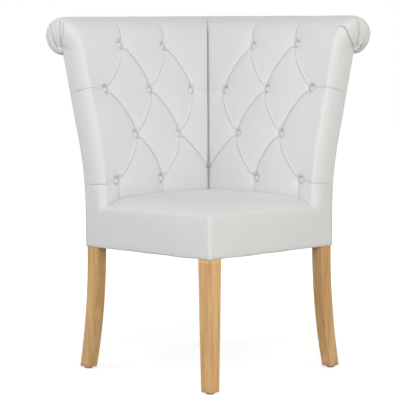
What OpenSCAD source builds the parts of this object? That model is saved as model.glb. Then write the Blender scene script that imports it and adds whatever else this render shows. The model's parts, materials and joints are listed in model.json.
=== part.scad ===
// Buttoned corner bench: a square upholstered seat on four wooden legs, with two
// scroll-topped back wings that meet at the rear corner. Millimetres, +Z up, origin on the
// floor under the middle of the overall footprint. The rear corner points to -X +Y.
// A wing is drawn in its own frame: x runs outward from the seat box's outer face,
// y runs along the wing from its free end to the rear corner, and z is the height.

/* [Seat box] */
// Side of the square upholstered box
box_side = 484; // [440:2:540]
// Height of the underside of the box above the floor
apron_z = 345; // [300:5:380]
// Height of the seat's top edge along the two open sides
seat_edge_z = 456; // [445:1:475]
// Rise of the seat's crown above its edge
seat_crown = 33; // [10:1:45]
// Distance over which the seat rises from its edge to the crown
crown_run = 60; // [40:5:90]
// Radius of the seat's soft top edge
seat_edge_r = 15; // [8:1:20]
// Dip of the seat's edge where it meets the ends of the wings
seat_dip = 8; // [0:1:10]
// Radius of the upright front corner of the cover
cover_corner_r = 8; // [4:1:14]

/* [Back wings] */
// Thickness of a wing, from its outer face to the crest of its padding
wing_t = 76; // [72:1:84]
// Height at which the wings begin to lean outward
lean_z = 440; // [425:5:450]
// Lean of the straight upper part of the wings, in degrees
lean = 15; // [10:1:18]
// Radius of the bend between the upright and the leaning part
lean_r = 750; // [650:10:850]
// Height of the scroll's crest at a free end
crest_h = 980; // [940:5:1010]
// Rise of the crest from a free end to the rear corner
crest_rise = 29; // [5:1:40]
// Radius of the scroll
roll_r = 53; // [48:1:56]
// Distance of the scroll's centre outside the seat box
roll_out = 107; // [100:1:112]
// Radius of the bend that leads the padding into the scroll
blend_r = 95; // [88:1:110]
// Radius of the padded edge at the free end
end_r = 20; // [12:1:24]
// How far the gathered end of the scroll bulges past the end face
dome_out = 12; // [6:1:16]
// Depth of the gathers at the end of the scroll
gather_depth = 2.5; // [0:0.5:4]
// Number of gathers round the end of the scroll
gather_count = 5; // [3:1:6]

/* [Buttons and folds] */
// Diameter of a covered button
button_d = 20; // [16:1:22]
// Thickness of a button
button_t = 6; // [4:0.5:8]
// Distance between neighbouring buttons in a row
button_pitch = 167; // [150:1:170]
// Distance of the lowest row above the start of the lean, along the padding
row_low = 87; // [80:1:92]
// Distance of the highest row below the bend into the scroll
row_top = 2; // [2:1:14]
// Distances of the first button from the free end, in the rows from low to high
row_first = [66.5, 160, 77.5, 161.5];
// Depth of the padding under a button
tuft_depth = 12; // [6:0.5:13]
// Depth of the folds between the buttons
fold_depth = 6; // [2:0.5:8]
// Width over which a fold rises to the crest of the padding
fold_w = 20; // [12:1:30]
// How far the folds bow towards the rear corner
fold_bow = 14; // [0:1:20]
// Depth of the groove where the two wings meet
seam_depth = 5; // [2:0.5:8]

/* [Covers and padding] */
// Thickness of the cover cloth
cover_t = 1.5; // [1:0.1:2]
// Thickness of the felt under the outer covers
felt_t = 2.3; // [1.5:0.1:3]
// Thickness of the buttoned cover with the fibre that is sewn into it
pad_t = 17.5; // [16:0.5:19]
// Thickness of the seat's cover with its fibre
seat_cover_t = 5; // [3:0.5:7]
// Thickness of the firm lower layer of seat foam
base_foam_t = 18; // [14:1:19]
// Clearance between soft pieces and their neighbours
soft_gap = 0.3; // [0.2:0.05:0.5]
// Width of a webbing strap
strap_w = 50; // [40:2:60]
// Thickness of a webbing strap
strap_t = 1.4; // [1:0.1:2]
// Straps each way
strap_count = 4; // [2:1:5]
// Thickness of the dust cloth under the seat
dust_t = 1; // [0.6:0.1:1.2]

/* [Frame] */
// Thickness of the posts and back rails
post_t = 34; // [28:1:36]
// Thickness of the plywood back panels
panel_t = 6; // [4:0.5:7]
// Width of a side leg at the apron, across the way it curves
leg_w = 34.5; // [30:0.5:40]
// Depth of a side leg at the apron, the way it curves
leg_d = 41; // [38:0.5:46]
// Width of a side leg's foot
foot_w = 31; // [26:0.5:34]
// Depth of a side leg's foot
foot_d = 37; // [30:0.5:38]
// How far a back leg's outer edge curves outward at the floor
leg_sweep = 39; // [20:1:50]
// Side of the front leg at the apron
front_leg_w = 42.5; // [38:0.5:48]
// Side of the front leg at the floor
front_foot_w = 33.5; // [28:0.5:38]
// Height of the seat rails
rail_h = 70; // [60:1:75]
// Thickness of the seat rails
rail_t = 24; // [20:1:26]
// Height of the lower back rails
low_rail_h = 38; // [30:1:45]
// Height of the top back rails
top_rail_h = 36; // [30:1:38]
// Width of the corner blocks, measured along a rail
block_w = 34; // [28:1:40]

/* [Fasteners and feet] */
// Diameter of the dowels
dowel_d = 8; // [6:1:10]
// Length of the dowels
dowel_l = 36; // [30:1:38]
// Diameter of the glides
glide_d = 22; // [18:1:25]
// Height of a glide under the leg
glide_h = 5; // [3:0.5:7]
// Diameter of a glide's nail
nail_d = 3; // [2:0.5:4]
// Length of a glide's nail
nail_l = 18; // [12:1:22]
// Diameter of the wood screws
screw_d = 4; // [3.5:0.5:5]
// Diameter of the twine that holds the buttons
twine_d = 2; // [1:0.5:2.5]
// Diameter of the washers that the twine is knotted to
washer_d = 14; // [10:1:16]
// Length of the screws that hold the back panels
panel_screw_l = 26; // [20:1:30]
// Clearance round dowels, nails, screws and twine
bore_gap = 0.1; // [0.05:0.05:0.2]

/* [Hidden] */
$fn = 48;
half = box_side / 2;
// Longer than any piece, for cutting shapes
far = 4 * box_side;
// Frame stands this far inside the outer faces of the covers
frame_in = cover_t + felt_t + soft_gap / 2;
rail_z = apron_z + 2;
rail_top = rail_z + rail_h;
leg_face = frame_in + leg_d;
front_face = frame_in + front_leg_w;
post_in = frame_in + leg_w;
// Depth of the soft covers over the frame
hem_t = frame_in - soft_gap / 2;

// Path of the padding's crest line, measured along it from the start of the lean
front_r = lean_r + wing_t;
arc_l = front_r * lean * PI / 180;
lean_t = [sin(lean), cos(lean)];
lean_n = [cos(lean), -sin(lean)];
arc_steps = 10;
function lean_at(l) = max(0, min(lean, l / front_r * 180 / PI));
// Point of a wing's section that lies n inside the outer face, at the distance l along the path
function wing_pt(n, l) =
    let (f = lean_at(l), r = lean_r + n, past = l < 0 ? l : max(0, l - arc_l))
    [lean_r - r * cos(f) + past * sin(f), lean_z + r * sin(f) + past * cos(f)];
// Distance along the path at which the outer face has a given height above the floor
function l_at_z(z) = z < lean_z ? z - lean_z
    : (z - lean_z) / lean_r < sin(lean) ? asin((z - lean_z) / lean_r) * PI / 180 * front_r
    : arc_l + (z - lean_z - lean_r * sin(lean)) / cos(lean);

// Scroll: its centre, and the larger bend that leads the padding into it
roll_c = [roll_out, crest_h - roll_r];
line_start = wing_pt(wing_t, arc_l);
c_in = (roll_c - line_start) * lean_n;
c_l = arc_l + (roll_c - line_start) * lean_t;
blend_l = c_l - sqrt(pow(blend_r - roll_r, 2) - pow(blend_r - c_in, 2));
blend_c = line_start + (blend_l - arc_l) * lean_t + blend_r * lean_n;
join_angle = atan2(roll_c[1] - blend_c[1], roll_c[0] - blend_c[0]);
join_l = blend_l + blend_r * (180 - lean - join_angle) * PI / 180;
c_n = wing_t - c_in;
neck_side = frame_in - c_n;
neck_angle = -90 - lean - asin(neck_side / roll_r);
end_l = join_l + roll_r * (join_angle - neck_angle) * PI / 180;
neck_l = c_l - roll_r - soft_gap;

// Tilt of the scroll and top rail in the leaning face, from the crest's rise
corner_b = box_side + roll_out;
tilt = crest_rise / cos(lean) / corner_b;
tilt_angle = atan(tilt);
function rise(b) = tilt * b;

post_top_l = c_l + 8;
top_rail_l = post_top_l - top_rail_h;
low_rail_l = l_at_z(seat_edge_z) + 1;
pad_low_l = low_rail_l - 1.5;
panel_in = frame_in + post_t;
foam_in = panel_in + panel_t;
// The foam stays a little under the cover, whose back is drawn with long flats
foam_out = wing_t - pad_t - 5 * soft_gap;
row_pitch = (blend_l - row_top - row_low) / 3;
rows = [for (k = [0:3]) row_low + k * row_pitch];
// Buttons as [distance from the free end, distance along the path]
buttons = [for (k = [0:3], m = [0:(k == 2 ? 2 : 1)]) [row_first[k] + m * button_pitch, rows[k]]];

seat_n = wing_t + soft_gap + 1;
seat_ear_n = wing_t - end_r + soft_gap + 1.5;
foam_z = rail_top + 2 * strap_t + soft_gap;
topper_z = foam_z + base_foam_t + soft_gap;
ear_z = seat_edge_z - soft_gap;

// Frames
module placed() {
    translate([shift, -shift, 0]) children();
}
module left_frame() {
    placed() translate([-half, -half, 0]) mirror([1, 0, 0]) children();
}
module right_frame() {
    placed() translate([half, half, 0]) rotate([0, 0, 90]) children();
}
// Carries a shape of one wing over to the other side of the mitre, in the wing's own frame
module across_mitre() {
    translate([0, box_side, 0]) mirror([1, -1, 0]) translate([0, -box_side, 0]) children();
}
// Keeps the part of a wing's shape that lies before the mitre
module mitred(gap = 0) {
    intersection() {
        children();
        translate([0, box_side - gap, -1]) rotate([0, 0, 45])
            translate([-far / 2, -far, 0]) cube(far);
    }
}
// Local frame on a wing's outer face: x outward, z up the face, at a distance n inside it
module at_face(b, l, n) {
    p = wing_pt(n, l);
    translate([p[0], b, p[1]]) rotate([0, lean_at(l), 0]) children();
}
// The same frame tilted with the rise of the crest
module tilted_frame(l) {
    at_face(0, l, 0) rotate([tilt_angle, 0, 0]) children();
}
// The space below a plane that rises with the crest, at the distance l along the path
module space_below(l) {
    tilted_frame(l) translate([-far / 2, -far / 2, -far]) cube(far);
}
module below_crest_line(l) {
    intersection() {
        children();
        space_below(l);
    }
}
// Extrudes a section along the wing from y = b0 to y = b1
module along_wing(b0, b1) {
    translate([0, b1, 0]) rotate([90, 0, 0]) linear_extrude(b1 - b0) children();
}
function stations(l0, l1) = concat(
    [l0],
    [for (k = [0:arc_steps]) let (l = arc_l * k / arc_steps) if (l > l0 + 1 && l < l1 - 1) l],
    [l1]);
function reversed(list) = [for (k = [len(list) - 1:-1:0]) list[k]];
module wing_band(n0, n1, l0, l1) {
    s = stations(l0, l1);
    polygon(concat([for (l = s) wing_pt(n0, l)], [for (l = reversed(s)) wing_pt(n1, l)]));
}
// Corner frames: x and y run inward from the two outer faces that meet at the corner
module front_corner() {
    placed() translate([half, -half, 0]) mirror([1, 0, 0]) children();
}
module left_corner() {
    placed() translate([-half, -half, 0]) children();
}
module right_corner() {
    placed() translate([half, half, 0]) mirror([1, 1, 0]) children();
}
module rear_corner() {
    placed() translate([-half, half, 0]) mirror([0, 1, 0]) children();
}

// Dowels of the seat rails
rail_mid = frame_in + rail_t / 2;
dowel_share = 0.26;
dowel_zs = [rail_z + rail_h * dowel_share, rail_top - rail_h * dowel_share];
module dowel(gap) {
    cylinder(d = dowel_d + 2 * gap, h = dowel_l + 2 * gap, center = true);
}
// The dowels at one corner, where the rails start at the leg faces x = px and y = py
module corner_dowels(px, py, gap) {
    for (z = dowel_zs) {
        translate([px, rail_mid, z]) rotate([0, 90, 0]) dowel(gap);
        translate([rail_mid, py, z]) rotate([90, 0, 0]) dowel(gap);
    }
}
module all_rail_dowels(gap) {
    front_corner() corner_dowels(front_face, front_face, gap);
    left_corner() corner_dowels(leg_face, post_in, gap);
    right_corner() corner_dowels(leg_face, post_in, gap);
    rear_corner() corner_dowels(leg_face, leg_face, gap);
}
// Dowels of a wing's back rails, in the wing's frame
post_arm = panel_in + rail_t;
low_dowel_l = low_rail_l + low_rail_h / 2;
top_dowel_l = top_rail_l + top_rail_h / 2;
dowel_n = frame_in + post_t / 2;
function arm_b(l) = box_side + wing_pt(post_arm, l)[0];
module wing_dowel(b, l, gap) {
    p = wing_pt(dowel_n, l);
    translate([p[0], b, p[1]]) rotate([90, 0, 0]) dowel(gap);
}
module wing_dowels(gap) {
    wing_dowel(post_in, low_dowel_l, gap);
    wing_dowel(arm_b(low_dowel_l), low_dowel_l, gap);
    wing_dowel(post_in, top_dowel_l + rise(post_in), gap);
    far_l = top_dowel_l + rise(arm_b(top_dowel_l));
    wing_dowel(arm_b(far_l), far_l, gap);
}

// Legs
function swept(z, sweep) = sweep == 0 ? 0
    : let (h = apron_z - glide_h, r = (h * h + sweep * sweep) / (2 * sweep), d = apron_z - z)
    r - sqrt(r * r - d * d);
leg_steps = 8;
shoulder_rise = 12;
leg_zs = [for (k = [0:leg_steps]) glide_h + (apron_z - glide_h) * k / leg_steps];
shoulder_z = rail_top + shoulder_rise;
// Section of a curved leg, from the floor up to its shoulder in the seat
module leg_section() {
    inner_sweep = leg_sweep + leg_d - foot_d;
    polygon(concat(
        [for (z = leg_zs) [-frame_in + swept(z, leg_sweep), z]],
        [[-frame_in, shoulder_z], [-leg_face, shoulder_z]],
        [for (z = reversed(leg_zs)) [-leg_face + swept(z, inner_sweep), z]]));
}
shoulder_l = l_at_z(shoulder_z);
module post_section(n1) {
    wing_band(frame_in, n1, shoulder_l, post_top_l + rise(corner_b) + roll_r);
}
// Leg and post in one piece, in the wing's frame, at the free end
module side_leg() {
    w0 = (leg_w - foot_w) / 2;
    difference() {
        union() {
            intersection() {
                along_wing(frame_in, post_in) leg_section();
                rotate([90, 0, 90]) linear_extrude(4 * leg_d, center = true) polygon([
                    [frame_in + w0, glide_h], [post_in - w0, glide_h], [post_in, apron_z],
                    [post_in, shoulder_z], [frame_in, shoulder_z], [frame_in, apron_z]]);
            }
            below_crest_line(post_top_l) along_wing(frame_in, post_in) post_section(panel_in);
        }
        wing_dowels(bore_gap);
        panel_screws(bore_gap);
        side_glide(bore_gap);
    }
}
module left_leg() {
    color("burlywood") difference() {
        left_frame() side_leg();
        all_rail_dowels(bore_gap);
    }
}
module right_leg() {
    color("burlywood") difference() {
        right_frame() side_leg();
        all_rail_dowels(bore_gap);
    }
}
// One arm of the corner post, in a wing's frame
module corner_arm() {
    intersection() {
        along_wing(0, 2 * box_side) post_section(panel_in);
        across_mitre() along_wing(0, 2 * box_side) post_section(post_arm);
    }
}
module corner_leg() {
    color("burlywood") difference() {
        union() {
            intersection() {
                left_frame() along_wing(0, 2 * box_side) leg_section();
                right_frame() along_wing(0, 2 * box_side) leg_section();
            }
            intersection() {
                union() {
                    left_frame() corner_arm();
                    right_frame() corner_arm();
                }
                left_frame() space_below(post_top_l);
                right_frame() space_below(post_top_l);
            }
        }
        left_frame() wing_dowels(bore_gap);
        right_frame() wing_dowels(bore_gap);
        left_frame() panel_screws(bore_gap);
        right_frame() panel_screws(bore_gap);
        all_rail_dowels(bore_gap);
        corner_glide(bore_gap);
    }
}
module front_leg_side() {
    d = (front_leg_w - front_foot_w) / 2;
    polygon([[frame_in + d, glide_h], [front_face - d, glide_h], [front_face, apron_z],
        [front_face, rail_top], [frame_in, rail_top], [frame_in, apron_z]]);
}
// Square tapered leg; its outer edge is cut off inside the box, under the cover's round corner
module front_leg() {
    cut = 2 * cover_corner_r;
    color("burlywood") difference() {
        front_corner() difference() {
            intersection() {
                rotate([90, 0, 90]) linear_extrude(4 * front_leg_w, center = true) front_leg_side();
                rotate([90, 0, 0]) linear_extrude(4 * front_leg_w, center = true) front_leg_side();
            }
            translate([0, 0, apron_z]) linear_extrude(far) polygon([[0, 0], [cut, 0], [0, cut]]);
        }
        all_rail_dowels(bore_gap);
        front_glide(bore_gap);
    }
}

// Glides: a smooth round foot with a nail driven up into the leg
module glide(gap) {
    r = glide_d / 2;
    if (gap == 0) rotate_extrude() polygon([[0, 0], [0.76 * r, 0], [0.94 * r, glide_h / 5],
        [r, glide_h / 2], [r, glide_h], [0, glide_h]]);
    translate([0, 0, glide_h]) cylinder(d = nail_d + 2 * gap, h = nail_l + gap);
}
foot_out = -frame_in + leg_sweep - foot_d / 2;
module side_glide(gap) {
    translate([foot_out, (frame_in + post_in) / 2, 0]) glide(gap);
}
module corner_glide(gap) {
    rear_corner() translate([-foot_out, -foot_out, 0]) glide(gap);
}
module front_glide(gap) {
    mid = (frame_in + front_face) / 2;
    front_corner() translate([mid, mid, 0]) glide(gap);
}
module glides() {
    color("silver") {
        left_frame() side_glide(0);
        right_frame() side_glide(0);
        corner_glide(0);
        front_glide(0);
    }
}

// Seat rails, each drawn in the corner frame where it starts
module seat_rail(start, stop) {
    translate([start, frame_in, rail_z]) cube([box_side - start - stop, rail_t, rail_h]);
}
module bored_rail() {
    color("tan") difference() {
        children();
        all_rail_dowels(bore_gap);
        all_block_screws(bore_gap);
    }
}
module front_left_rail() {
    bored_rail() left_corner() seat_rail(leg_face, front_face);
}
module front_right_rail() {
    bored_rail() right_corner() seat_rail(leg_face, front_face);
}
module back_left_rail() {
    bored_rail() left_corner() mirror([1, -1, 0]) seat_rail(post_in, leg_face);
}
module back_right_rail() {
    bored_rail() right_corner() mirror([1, -1, 0]) seat_rail(post_in, leg_face);
}
module rail_dowels() {
    color("wheat") all_rail_dowels(0);
}

// Corner blocks, glued and screwed across each corner behind the leg. The sloping faces cross
// the rails at the distances block_inner and block_outer, added up from both outer faces.
block_h = rail_h * 0.6;
block_mid = rail_z + rail_h * 0.6;
block_clear = block_w / 8;
block_inner = 2 * front_face + block_clear;
block_outer = block_inner + block_w;
rail_face = frame_in + rail_t;
screw_along = (block_inner + block_outer) / 2 - rail_face;
// Length of a block screw's shank in the block, and of its head
block_grip = block_w / 4;
head_t = screw_d * 0.75;
module corner_block() {
    difference() {
        translate([0, 0, block_mid]) linear_extrude(block_h, center = true) polygon([
            [rail_face, block_inner - rail_face], [rail_face, block_outer - rail_face],
            [block_outer - rail_face, rail_face], [block_inner - rail_face, rail_face]]);
        corner_screws(bore_gap);
    }
}
module corner_screws(gap) {
    translate([rail_face, screw_along, block_mid]) rotate([0, 90, 0]) block_screw(gap);
    translate([screw_along, rail_face, block_mid]) rotate([-90, 0, 0]) block_screw(gap);
}
// A screw whose head lies in a counterbore of the block and whose tip is in the rail
module block_screw(gap) {
    tip = rail_t * 0.75;
    translate([0, 0, -tip - gap]) cylinder(d = screw_d + 2 * gap, h = tip + gap + block_grip);
    translate([0, 0, block_grip])
        cylinder(d = 2 * screw_d + 2 * gap, h = gap == 0 ? head_t : 2 * block_w);
}
module all_block_screws(gap) {
    front_corner() corner_screws(gap);
    left_corner() corner_screws(gap);
    right_corner() corner_screws(gap);
    rear_corner() corner_screws(gap);
}
module block_screws() {
    color("gray") all_block_screws(0);
}
module corner_blocks() {
    color("tan") {
        front_corner() corner_block();
        left_corner() corner_block();
        right_corner() corner_block();
        rear_corner() corner_block();
    }
}

// Back rails of a wing, between the side post and the corner post
module between_posts() {
    difference() {
        mitred() intersection() {
            children();
            translate([-far / 2, post_in, 0]) cube(far);
        }
        across_mitre() along_wing(0, 2 * box_side) wing_band(-lean_r / 2, post_arm, 0, far / 2);
        wing_dowels(bore_gap);
        panel_screws(bore_gap);
    }
}
module low_rail() {
    between_posts() along_wing(post_in, 2 * box_side)
        wing_band(frame_in, panel_in, low_rail_l, low_rail_l + low_rail_h);
}
module top_rail() {
    between_posts() tilted_frame(top_rail_l)
        translate([-panel_in, 0, 0]) cube([post_t, 2 * box_side, top_rail_h]);
}
module left_low_rail() {
    color("tan") left_frame() low_rail();
}
module right_low_rail() {
    color("tan") right_frame() low_rail();
}
module left_top_rail() {
    color("tan") left_frame() top_rail();
}
module right_top_rail() {
    color("tan") right_frame() top_rail();
}
module back_rail_dowels() {
    color("wheat") {
        left_frame() wing_dowels(0);
        right_frame() wing_dowels(0);
    }
}
// Half-round wooden block behind the top rail, which shapes the scroll
module roll_block() {
    mitred(soft_gap / 2) intersection() {
        tilted_frame(c_l) rotate([90, 0, 0]) linear_extrude(far, center = true)
            intersection() {
                translate([-c_n, 0]) circle(r = under_cover(roll_r));
                translate([-frame_in, -2 * roll_r]) square(4 * roll_r);
            }
        translate([-far / 2, frame_in, 0]) cube(far);
    }
}
module left_roll_block() {
    color("peru") left_frame() roll_block();
}
module right_roll_block() {
    color("peru") right_frame() roll_block();
}

// Plywood back panel with a hole for the twine of each button
module back_panel() {
    difference() {
        mitred(soft_gap / 2) below_crest_line(c_l) along_wing(frame_in, 2 * box_side)
            wing_band(panel_in + bore_gap, foam_in, pad_low_l, c_l + rise(corner_b) + roll_r);
        button_twine(bore_gap);
        panel_screws(bore_gap);
    }
}
module left_back_panel() {
    color("sandybrown") left_frame() back_panel();
}
module right_back_panel() {
    color("sandybrown") right_frame() back_panel();
}
// Places of a panel's screws: three in each post, two in the low rail, three in the top rail,
// as [distance from the free end, distance along the path]
post_screw_ls = [row_low + row_pitch / 4, row_low + 1.35 * row_pitch, row_low + 2.65 * row_pitch];
arm_mid = (panel_in + post_arm) / 2;
screw_places = concat(
    [for (l = post_screw_ls) [(frame_in + post_in) / 2, l]],
    [for (l = post_screw_ls) [box_side + wing_pt(arm_mid, l)[0], l]],
    [for (b = [0.32, 0.72] * box_side) [b, low_rail_l + low_rail_h / 3]],
    [for (b = [0.2, 0.5, 0.8] * box_side) [b, top_rail_l + rise(b) + top_rail_h / 3]]);
module panel_screws(gap) {
    for (s = screw_places)
        at_face(s[0], s[1], foam_in) rotate([0, 90, 0]) {
            cylinder(d = screw_d + 2 * gap, h = panel_screw_l + gap);
            translate([0, 0, -gap])
                cylinder(d1 = 2 * (screw_d + gap), d2 = screw_d, h = screw_d / 2 + gap);
        }
}
module left_panel_screws() {
    color("gray") left_frame() panel_screws(0);
}
module right_panel_screws() {
    color("gray") right_frame() panel_screws(0);
}

// Twine of each button, knotted behind a washer on the back of the panel
washer_t = 2;
knot_t = 2;
knot_n = panel_in - washer_t - bore_gap;
module button_twine(gap) {
    for (s = buttons)
        at_face(s[0], s[1], foam_out + gap) rotate([0, 90, 0])
            cylinder(d = twine_d + 2 * gap, h = foam_out - knot_n + knot_t + 2 * gap);
}
module twine() {
    button_twine(0);
    for (s = buttons)
        at_face(s[0], s[1], knot_n) rotate([0, 90, 0]) cylinder(d = 3 * twine_d, h = knot_t);
}
module left_twine() {
    color("ivory") left_frame() twine();
}
module right_twine() {
    color("ivory") right_frame() twine();
}
module washers() {
    for (s = buttons)
        at_face(s[0], s[1], panel_in) rotate([0, 90, 0]) difference() {
            cylinder(d = washer_d, h = washer_t);
            translate([0, 0, -1]) cylinder(d = twine_d + 2 * bore_gap, h = washer_t + 2);
        }
}
module left_washers() {
    color("silver") left_frame() washers();
}
module right_washers() {
    color("silver") right_frame() washers();
}
// Covered buttons, domed, each on the floor of its tuft
module wing_buttons() {
    r = button_d / 2;
    for (s = buttons)
        at_face(s[0], s[1], wing_t - tuft_depth + bore_gap) rotate([0, -90, 0]) rotate_extrude()
            polygon(concat([[0, 0], [r - 1, 0]],
                [for (t = [0:15:90]) [r * cos(t), 1 + (button_t - 1) * sin(t)]]));
}
module left_buttons() {
    color("gainsboro") left_frame() wing_buttons();
}
module right_buttons() {
    color("gainsboro") right_frame() wing_buttons();
}

// Rows of the cover over the scroll, and the radius that clears the flats between those rows
ring = button_d / 2 + 1;
scroll_rows = 9;
top_ring_l = rows[3] + ring;
scroll_l = top_ring_l + ring;
scroll_step = (end_l - scroll_l) / (scroll_rows - 1);
function under_cover(r) = (r - pad_t) * cos(scroll_step / r * 90 / PI) - soft_gap;

// Foam slab on the panel, rounded over at the top by the bend into the scroll
module bend_clip() {
    tilted_frame(blend_l) {
        translate([blend_r - wing_t, 0, 0]) rotate([90, 0, 0])
            cylinder(r = under_cover(blend_r), h = far, center = true, $fn = 96);
        translate([-far / 2, -far / 2, -far]) cube(far);
    }
}
module back_foam() {
    difference() {
        intersection() {
            mitred(soft_gap / 2) below_crest_line(c_l) along_wing(frame_in, 2 * box_side)
                wing_band(foam_in + soft_gap, foam_out, pad_low_l, c_l + rise(corner_b) + roll_r);
            bend_clip();
        }
        button_twine(bore_gap);
    }
}
module left_back_foam() {
    color("khaki") left_frame() back_foam();
}
module right_back_foam() {
    color("khaki") right_frame() back_foam();
}
// Foam that rounds over the top of the posts and the top rail
module roll_foam() {
    top = post_top_l - c_l + soft_gap;
    reach = 2 * blend_r;
    join_n = c_n - roll_r * cos(join_angle + lean);
    mitred(soft_gap / 2) intersection() {
        tilted_frame(c_l) rotate([90, 0, 0]) linear_extrude(far, center = true)
            intersection() {
                union() {
                    translate([-c_n, 0]) circle(r = under_cover(roll_r));
                    intersection() {
                        translate([blend_r - wing_t, blend_l - c_l])
                            circle(r = under_cover(blend_r), $fn = 96);
                        translate([-reach - join_n, -reach]) square([reach, 2 * reach]);
                    }
                }
                union() {
                    translate([-reach - frame_in - soft_gap, top]) square(reach);
                    translate([-reach - panel_in - soft_gap, soft_gap]) square(reach);
                }
            }
        translate([-far / 2, frame_in, 0]) cube(far);
    }
}
module left_roll_foam() {
    color("khaki") left_frame() roll_foam();
}
module right_roll_foam() {
    color("khaki") right_frame() roll_foam();
}

// Outer cover and felt: the back of a wing from y = b_back on, and its return on the end face
// beside the seat, from y = b0 to y = b1
module outer_skin(n0, n1, b_back, b0, b1) {
    mitred(soft_gap / 2) below_crest_line(neck_l) along_wing(b_back, 2 * box_side)
        wing_band(n0, n1, l_at_z(apron_z), neck_l + rise(corner_b) + roll_r);
    translate([-wing_t + end_r, b0, apron_z]) cube([wing_t - end_r - n0, b1 - b0, ear_z - apron_z]);
}
module outer_cover() {
    outer_skin(0, cover_t, 0, 0, cover_t);
}
module outer_felt() {
    outer_skin(cover_t, cover_t + felt_t, hem_t, cover_t, hem_t);
}
module left_outer_cover() {
    color("whitesmoke") left_frame() outer_cover();
}
module right_outer_cover() {
    color("whitesmoke") right_frame() outer_cover();
}
module left_outer_felt() {
    color("lightgray") left_frame() outer_felt();
}
module right_outer_felt() {
    color("lightgray") right_frame() outer_felt();
}

// Buttoned cover. A point of its crest line at the distance l along the path and b along the
// wing is [x, z, outward x, outward z]. Above the bend it is carried up by the crest's rise.
function path_pt(l, b) =
    let (up = rise(b), s = l - up)
    s < blend_l ? let (p = wing_pt(wing_t, l), f = lean_at(l)) [p[0], p[1], -cos(f), sin(f)]
    : s < join_l ? let (t = 180 - lean - (s - blend_l) / blend_r * 180 / PI)
        round_pt(blend_c, blend_r, t, up)
    : let (t = join_angle - (s - join_l) / roll_r * 180 / PI) round_pt(roll_c, roll_r, t, up);
function round_pt(c, r, t, up) =
    [c[0] + up * lean_t[0] + r * cos(t), c[1] + up * lean_t[1] + r * sin(t), cos(t), sin(t)];

// Folds, each a start and an end as [b, l]; the bow is added when the distance is measured
function next_row(p, k) = [for (q = buttons)
    if (q[1] == rows[k + 1] && abs(q[0] - p[0]) < 0.7 * button_pitch) q];
function in_row(k) = [for (q = buttons) if (q[1] == rows[k]) q];
folds = concat(
    [for (k = [0:2], p = in_row(k), q = next_row(p, k)) [q, p, fold_bow]],
    [for (p = in_row(0)) [p, [p[0], pad_low_l], 0]],
    [for (p = in_row(3)) [p, [p[0], blend_l + blend_r / 3 + rise(p[0])], 0]],
    [for (k = [0, 2]) [in_row(k)[0], [0, rows[k]], 0]],
    [[in_row(1)[1], [box_side - wing_t + fold_w / 5, row_low + fold_w], fold_bow / 2]],
    [[in_row(2)[2], [box_side - wing_t + 3 * fold_w, rows[2]], 0]]);
function seg_dist(p, a, b) =
    let (t = max(0, min(1, (p - a) * (b - a) / ((b - a) * (b - a))))) norm(p - a - t * (b - a));
function fold_dist(p, f) =
    let (m = (f[0] + f[1]) / 2 + [f[2], 0]) min(seg_dist(p, f[0], m), seg_dist(p, m, f[1]));
// Depth of the padding's surface below its crest
function tuft(b, l) =
    let (fade = min(1, max(0, (l - pad_low_l) / fold_w / 1.5)) * min(1, max(0, (end_l - l) / fold_w / 3)),
        r = min([for (s = buttons) norm([b, l] - s)]),
        d = min([for (f = folds) fold_dist([b, l], f)]))
    fade * max(tuft_depth * exp(-max(0, r - 1.5 * ring) / fold_w), fold_depth * exp(-d / fold_w));

// Rows of the cover's grid as [distance along the path, share of the crest's rise]
inner_steps = 4;
function ringed(span, k) = k == 0 ? 0 : ring + (span - 2 * ring) * (k - 1) / inner_steps;
grid_rows = concat(
    [[pad_low_l, 0], [(pad_low_l + row_low - ring) / 2, 0], [row_low - ring, 0]],
    [for (k = [0:2], j = [0:inner_steps + 1]) [rows[k] + ringed(row_pitch, j), 0]],
    [[rows[3], 0], [top_ring_l, 0]],
    [for (k = [0:scroll_rows - 1]) [scroll_l + scroll_step * k, 1]]);
last_row = len(grid_rows) - 1;
// First row whose end runs into the gathers of the scroll
gather_row = min([for (j = [0:last_row]) if (grid_rows[j][0] > neck_l - 0.5) j]);

// Columns: three on the end face, three round its edge, the buttons' columns, the mitre
key_cols = [for (k = [0:3], j = [0:inner_steps + 1]) k * button_pitch / 2 + ringed(button_pitch / 2, j)];
front_cols = concat([-ring], key_cols, [2 * button_pitch, 2 * button_pitch + ring]);
first_front = 6;
mitre_cols = 3;
last_col = first_front + len(front_cols) - 1 + mitre_cols;
col_count = last_col + 1;
function first_key(l) = lookup(l, [
    for (k = [0:3]) [rows[k], row_first[k] - (k % 2) * button_pitch / 2]]);
function mitre_b(l, w) =
    let (a = path_pt(l, 0)[0]) w == 0 ? box_side + a : (box_side + a) / (1 - tilt * lean_t[0]);
function front_b(i, l, w) =
    let (m = mitre_b(l, w), k = i - first_front, keys = len(front_cols),
        from = first_key(l) + front_cols[keys - 1],
        b = k < keys ? first_key(l) + front_cols[k] : from + (m - from) * (k - keys + 1) / mitre_cols)
    max(end_r + ring / 5 * (k + 1), min(b, m - ring / 5 * (last_col - i)));
// Place on the front and scroll
function front_pt(i, j) =
    let (row = grid_rows[j], b = front_b(i, row[0], row[1]), l = row[0] + row[1] * rise(b),
        p = path_pt(l, b), edge = i == last_col && j > 0 && j < last_row ? seam_depth : 0,
        d = tuft(b, l) + edge, x = p[0] - d * p[2])
    [x, i == last_col ? box_side + x - soft_gap / 2 : b, p[1] - d * p[3]];
// Share of the gathers' bulge in a row, and the gathers' own swing
function gather_share(j) = sin(180 * min(1, max(0, (j - gather_row) / (last_row - gather_row))));
function gather_swing(j) = gather_depth * (1 - cos(360 * gather_count * (j - gather_row) / scroll_rows));
function end_bulge(j, share) = j < gather_row ? 0
    : gather_share(j) * share * (dome_out - gather_swing(j) * share);
gather_pt = roll_c + (roll_r - end_r) * [cos(neck_angle), sin(neck_angle)];
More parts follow.
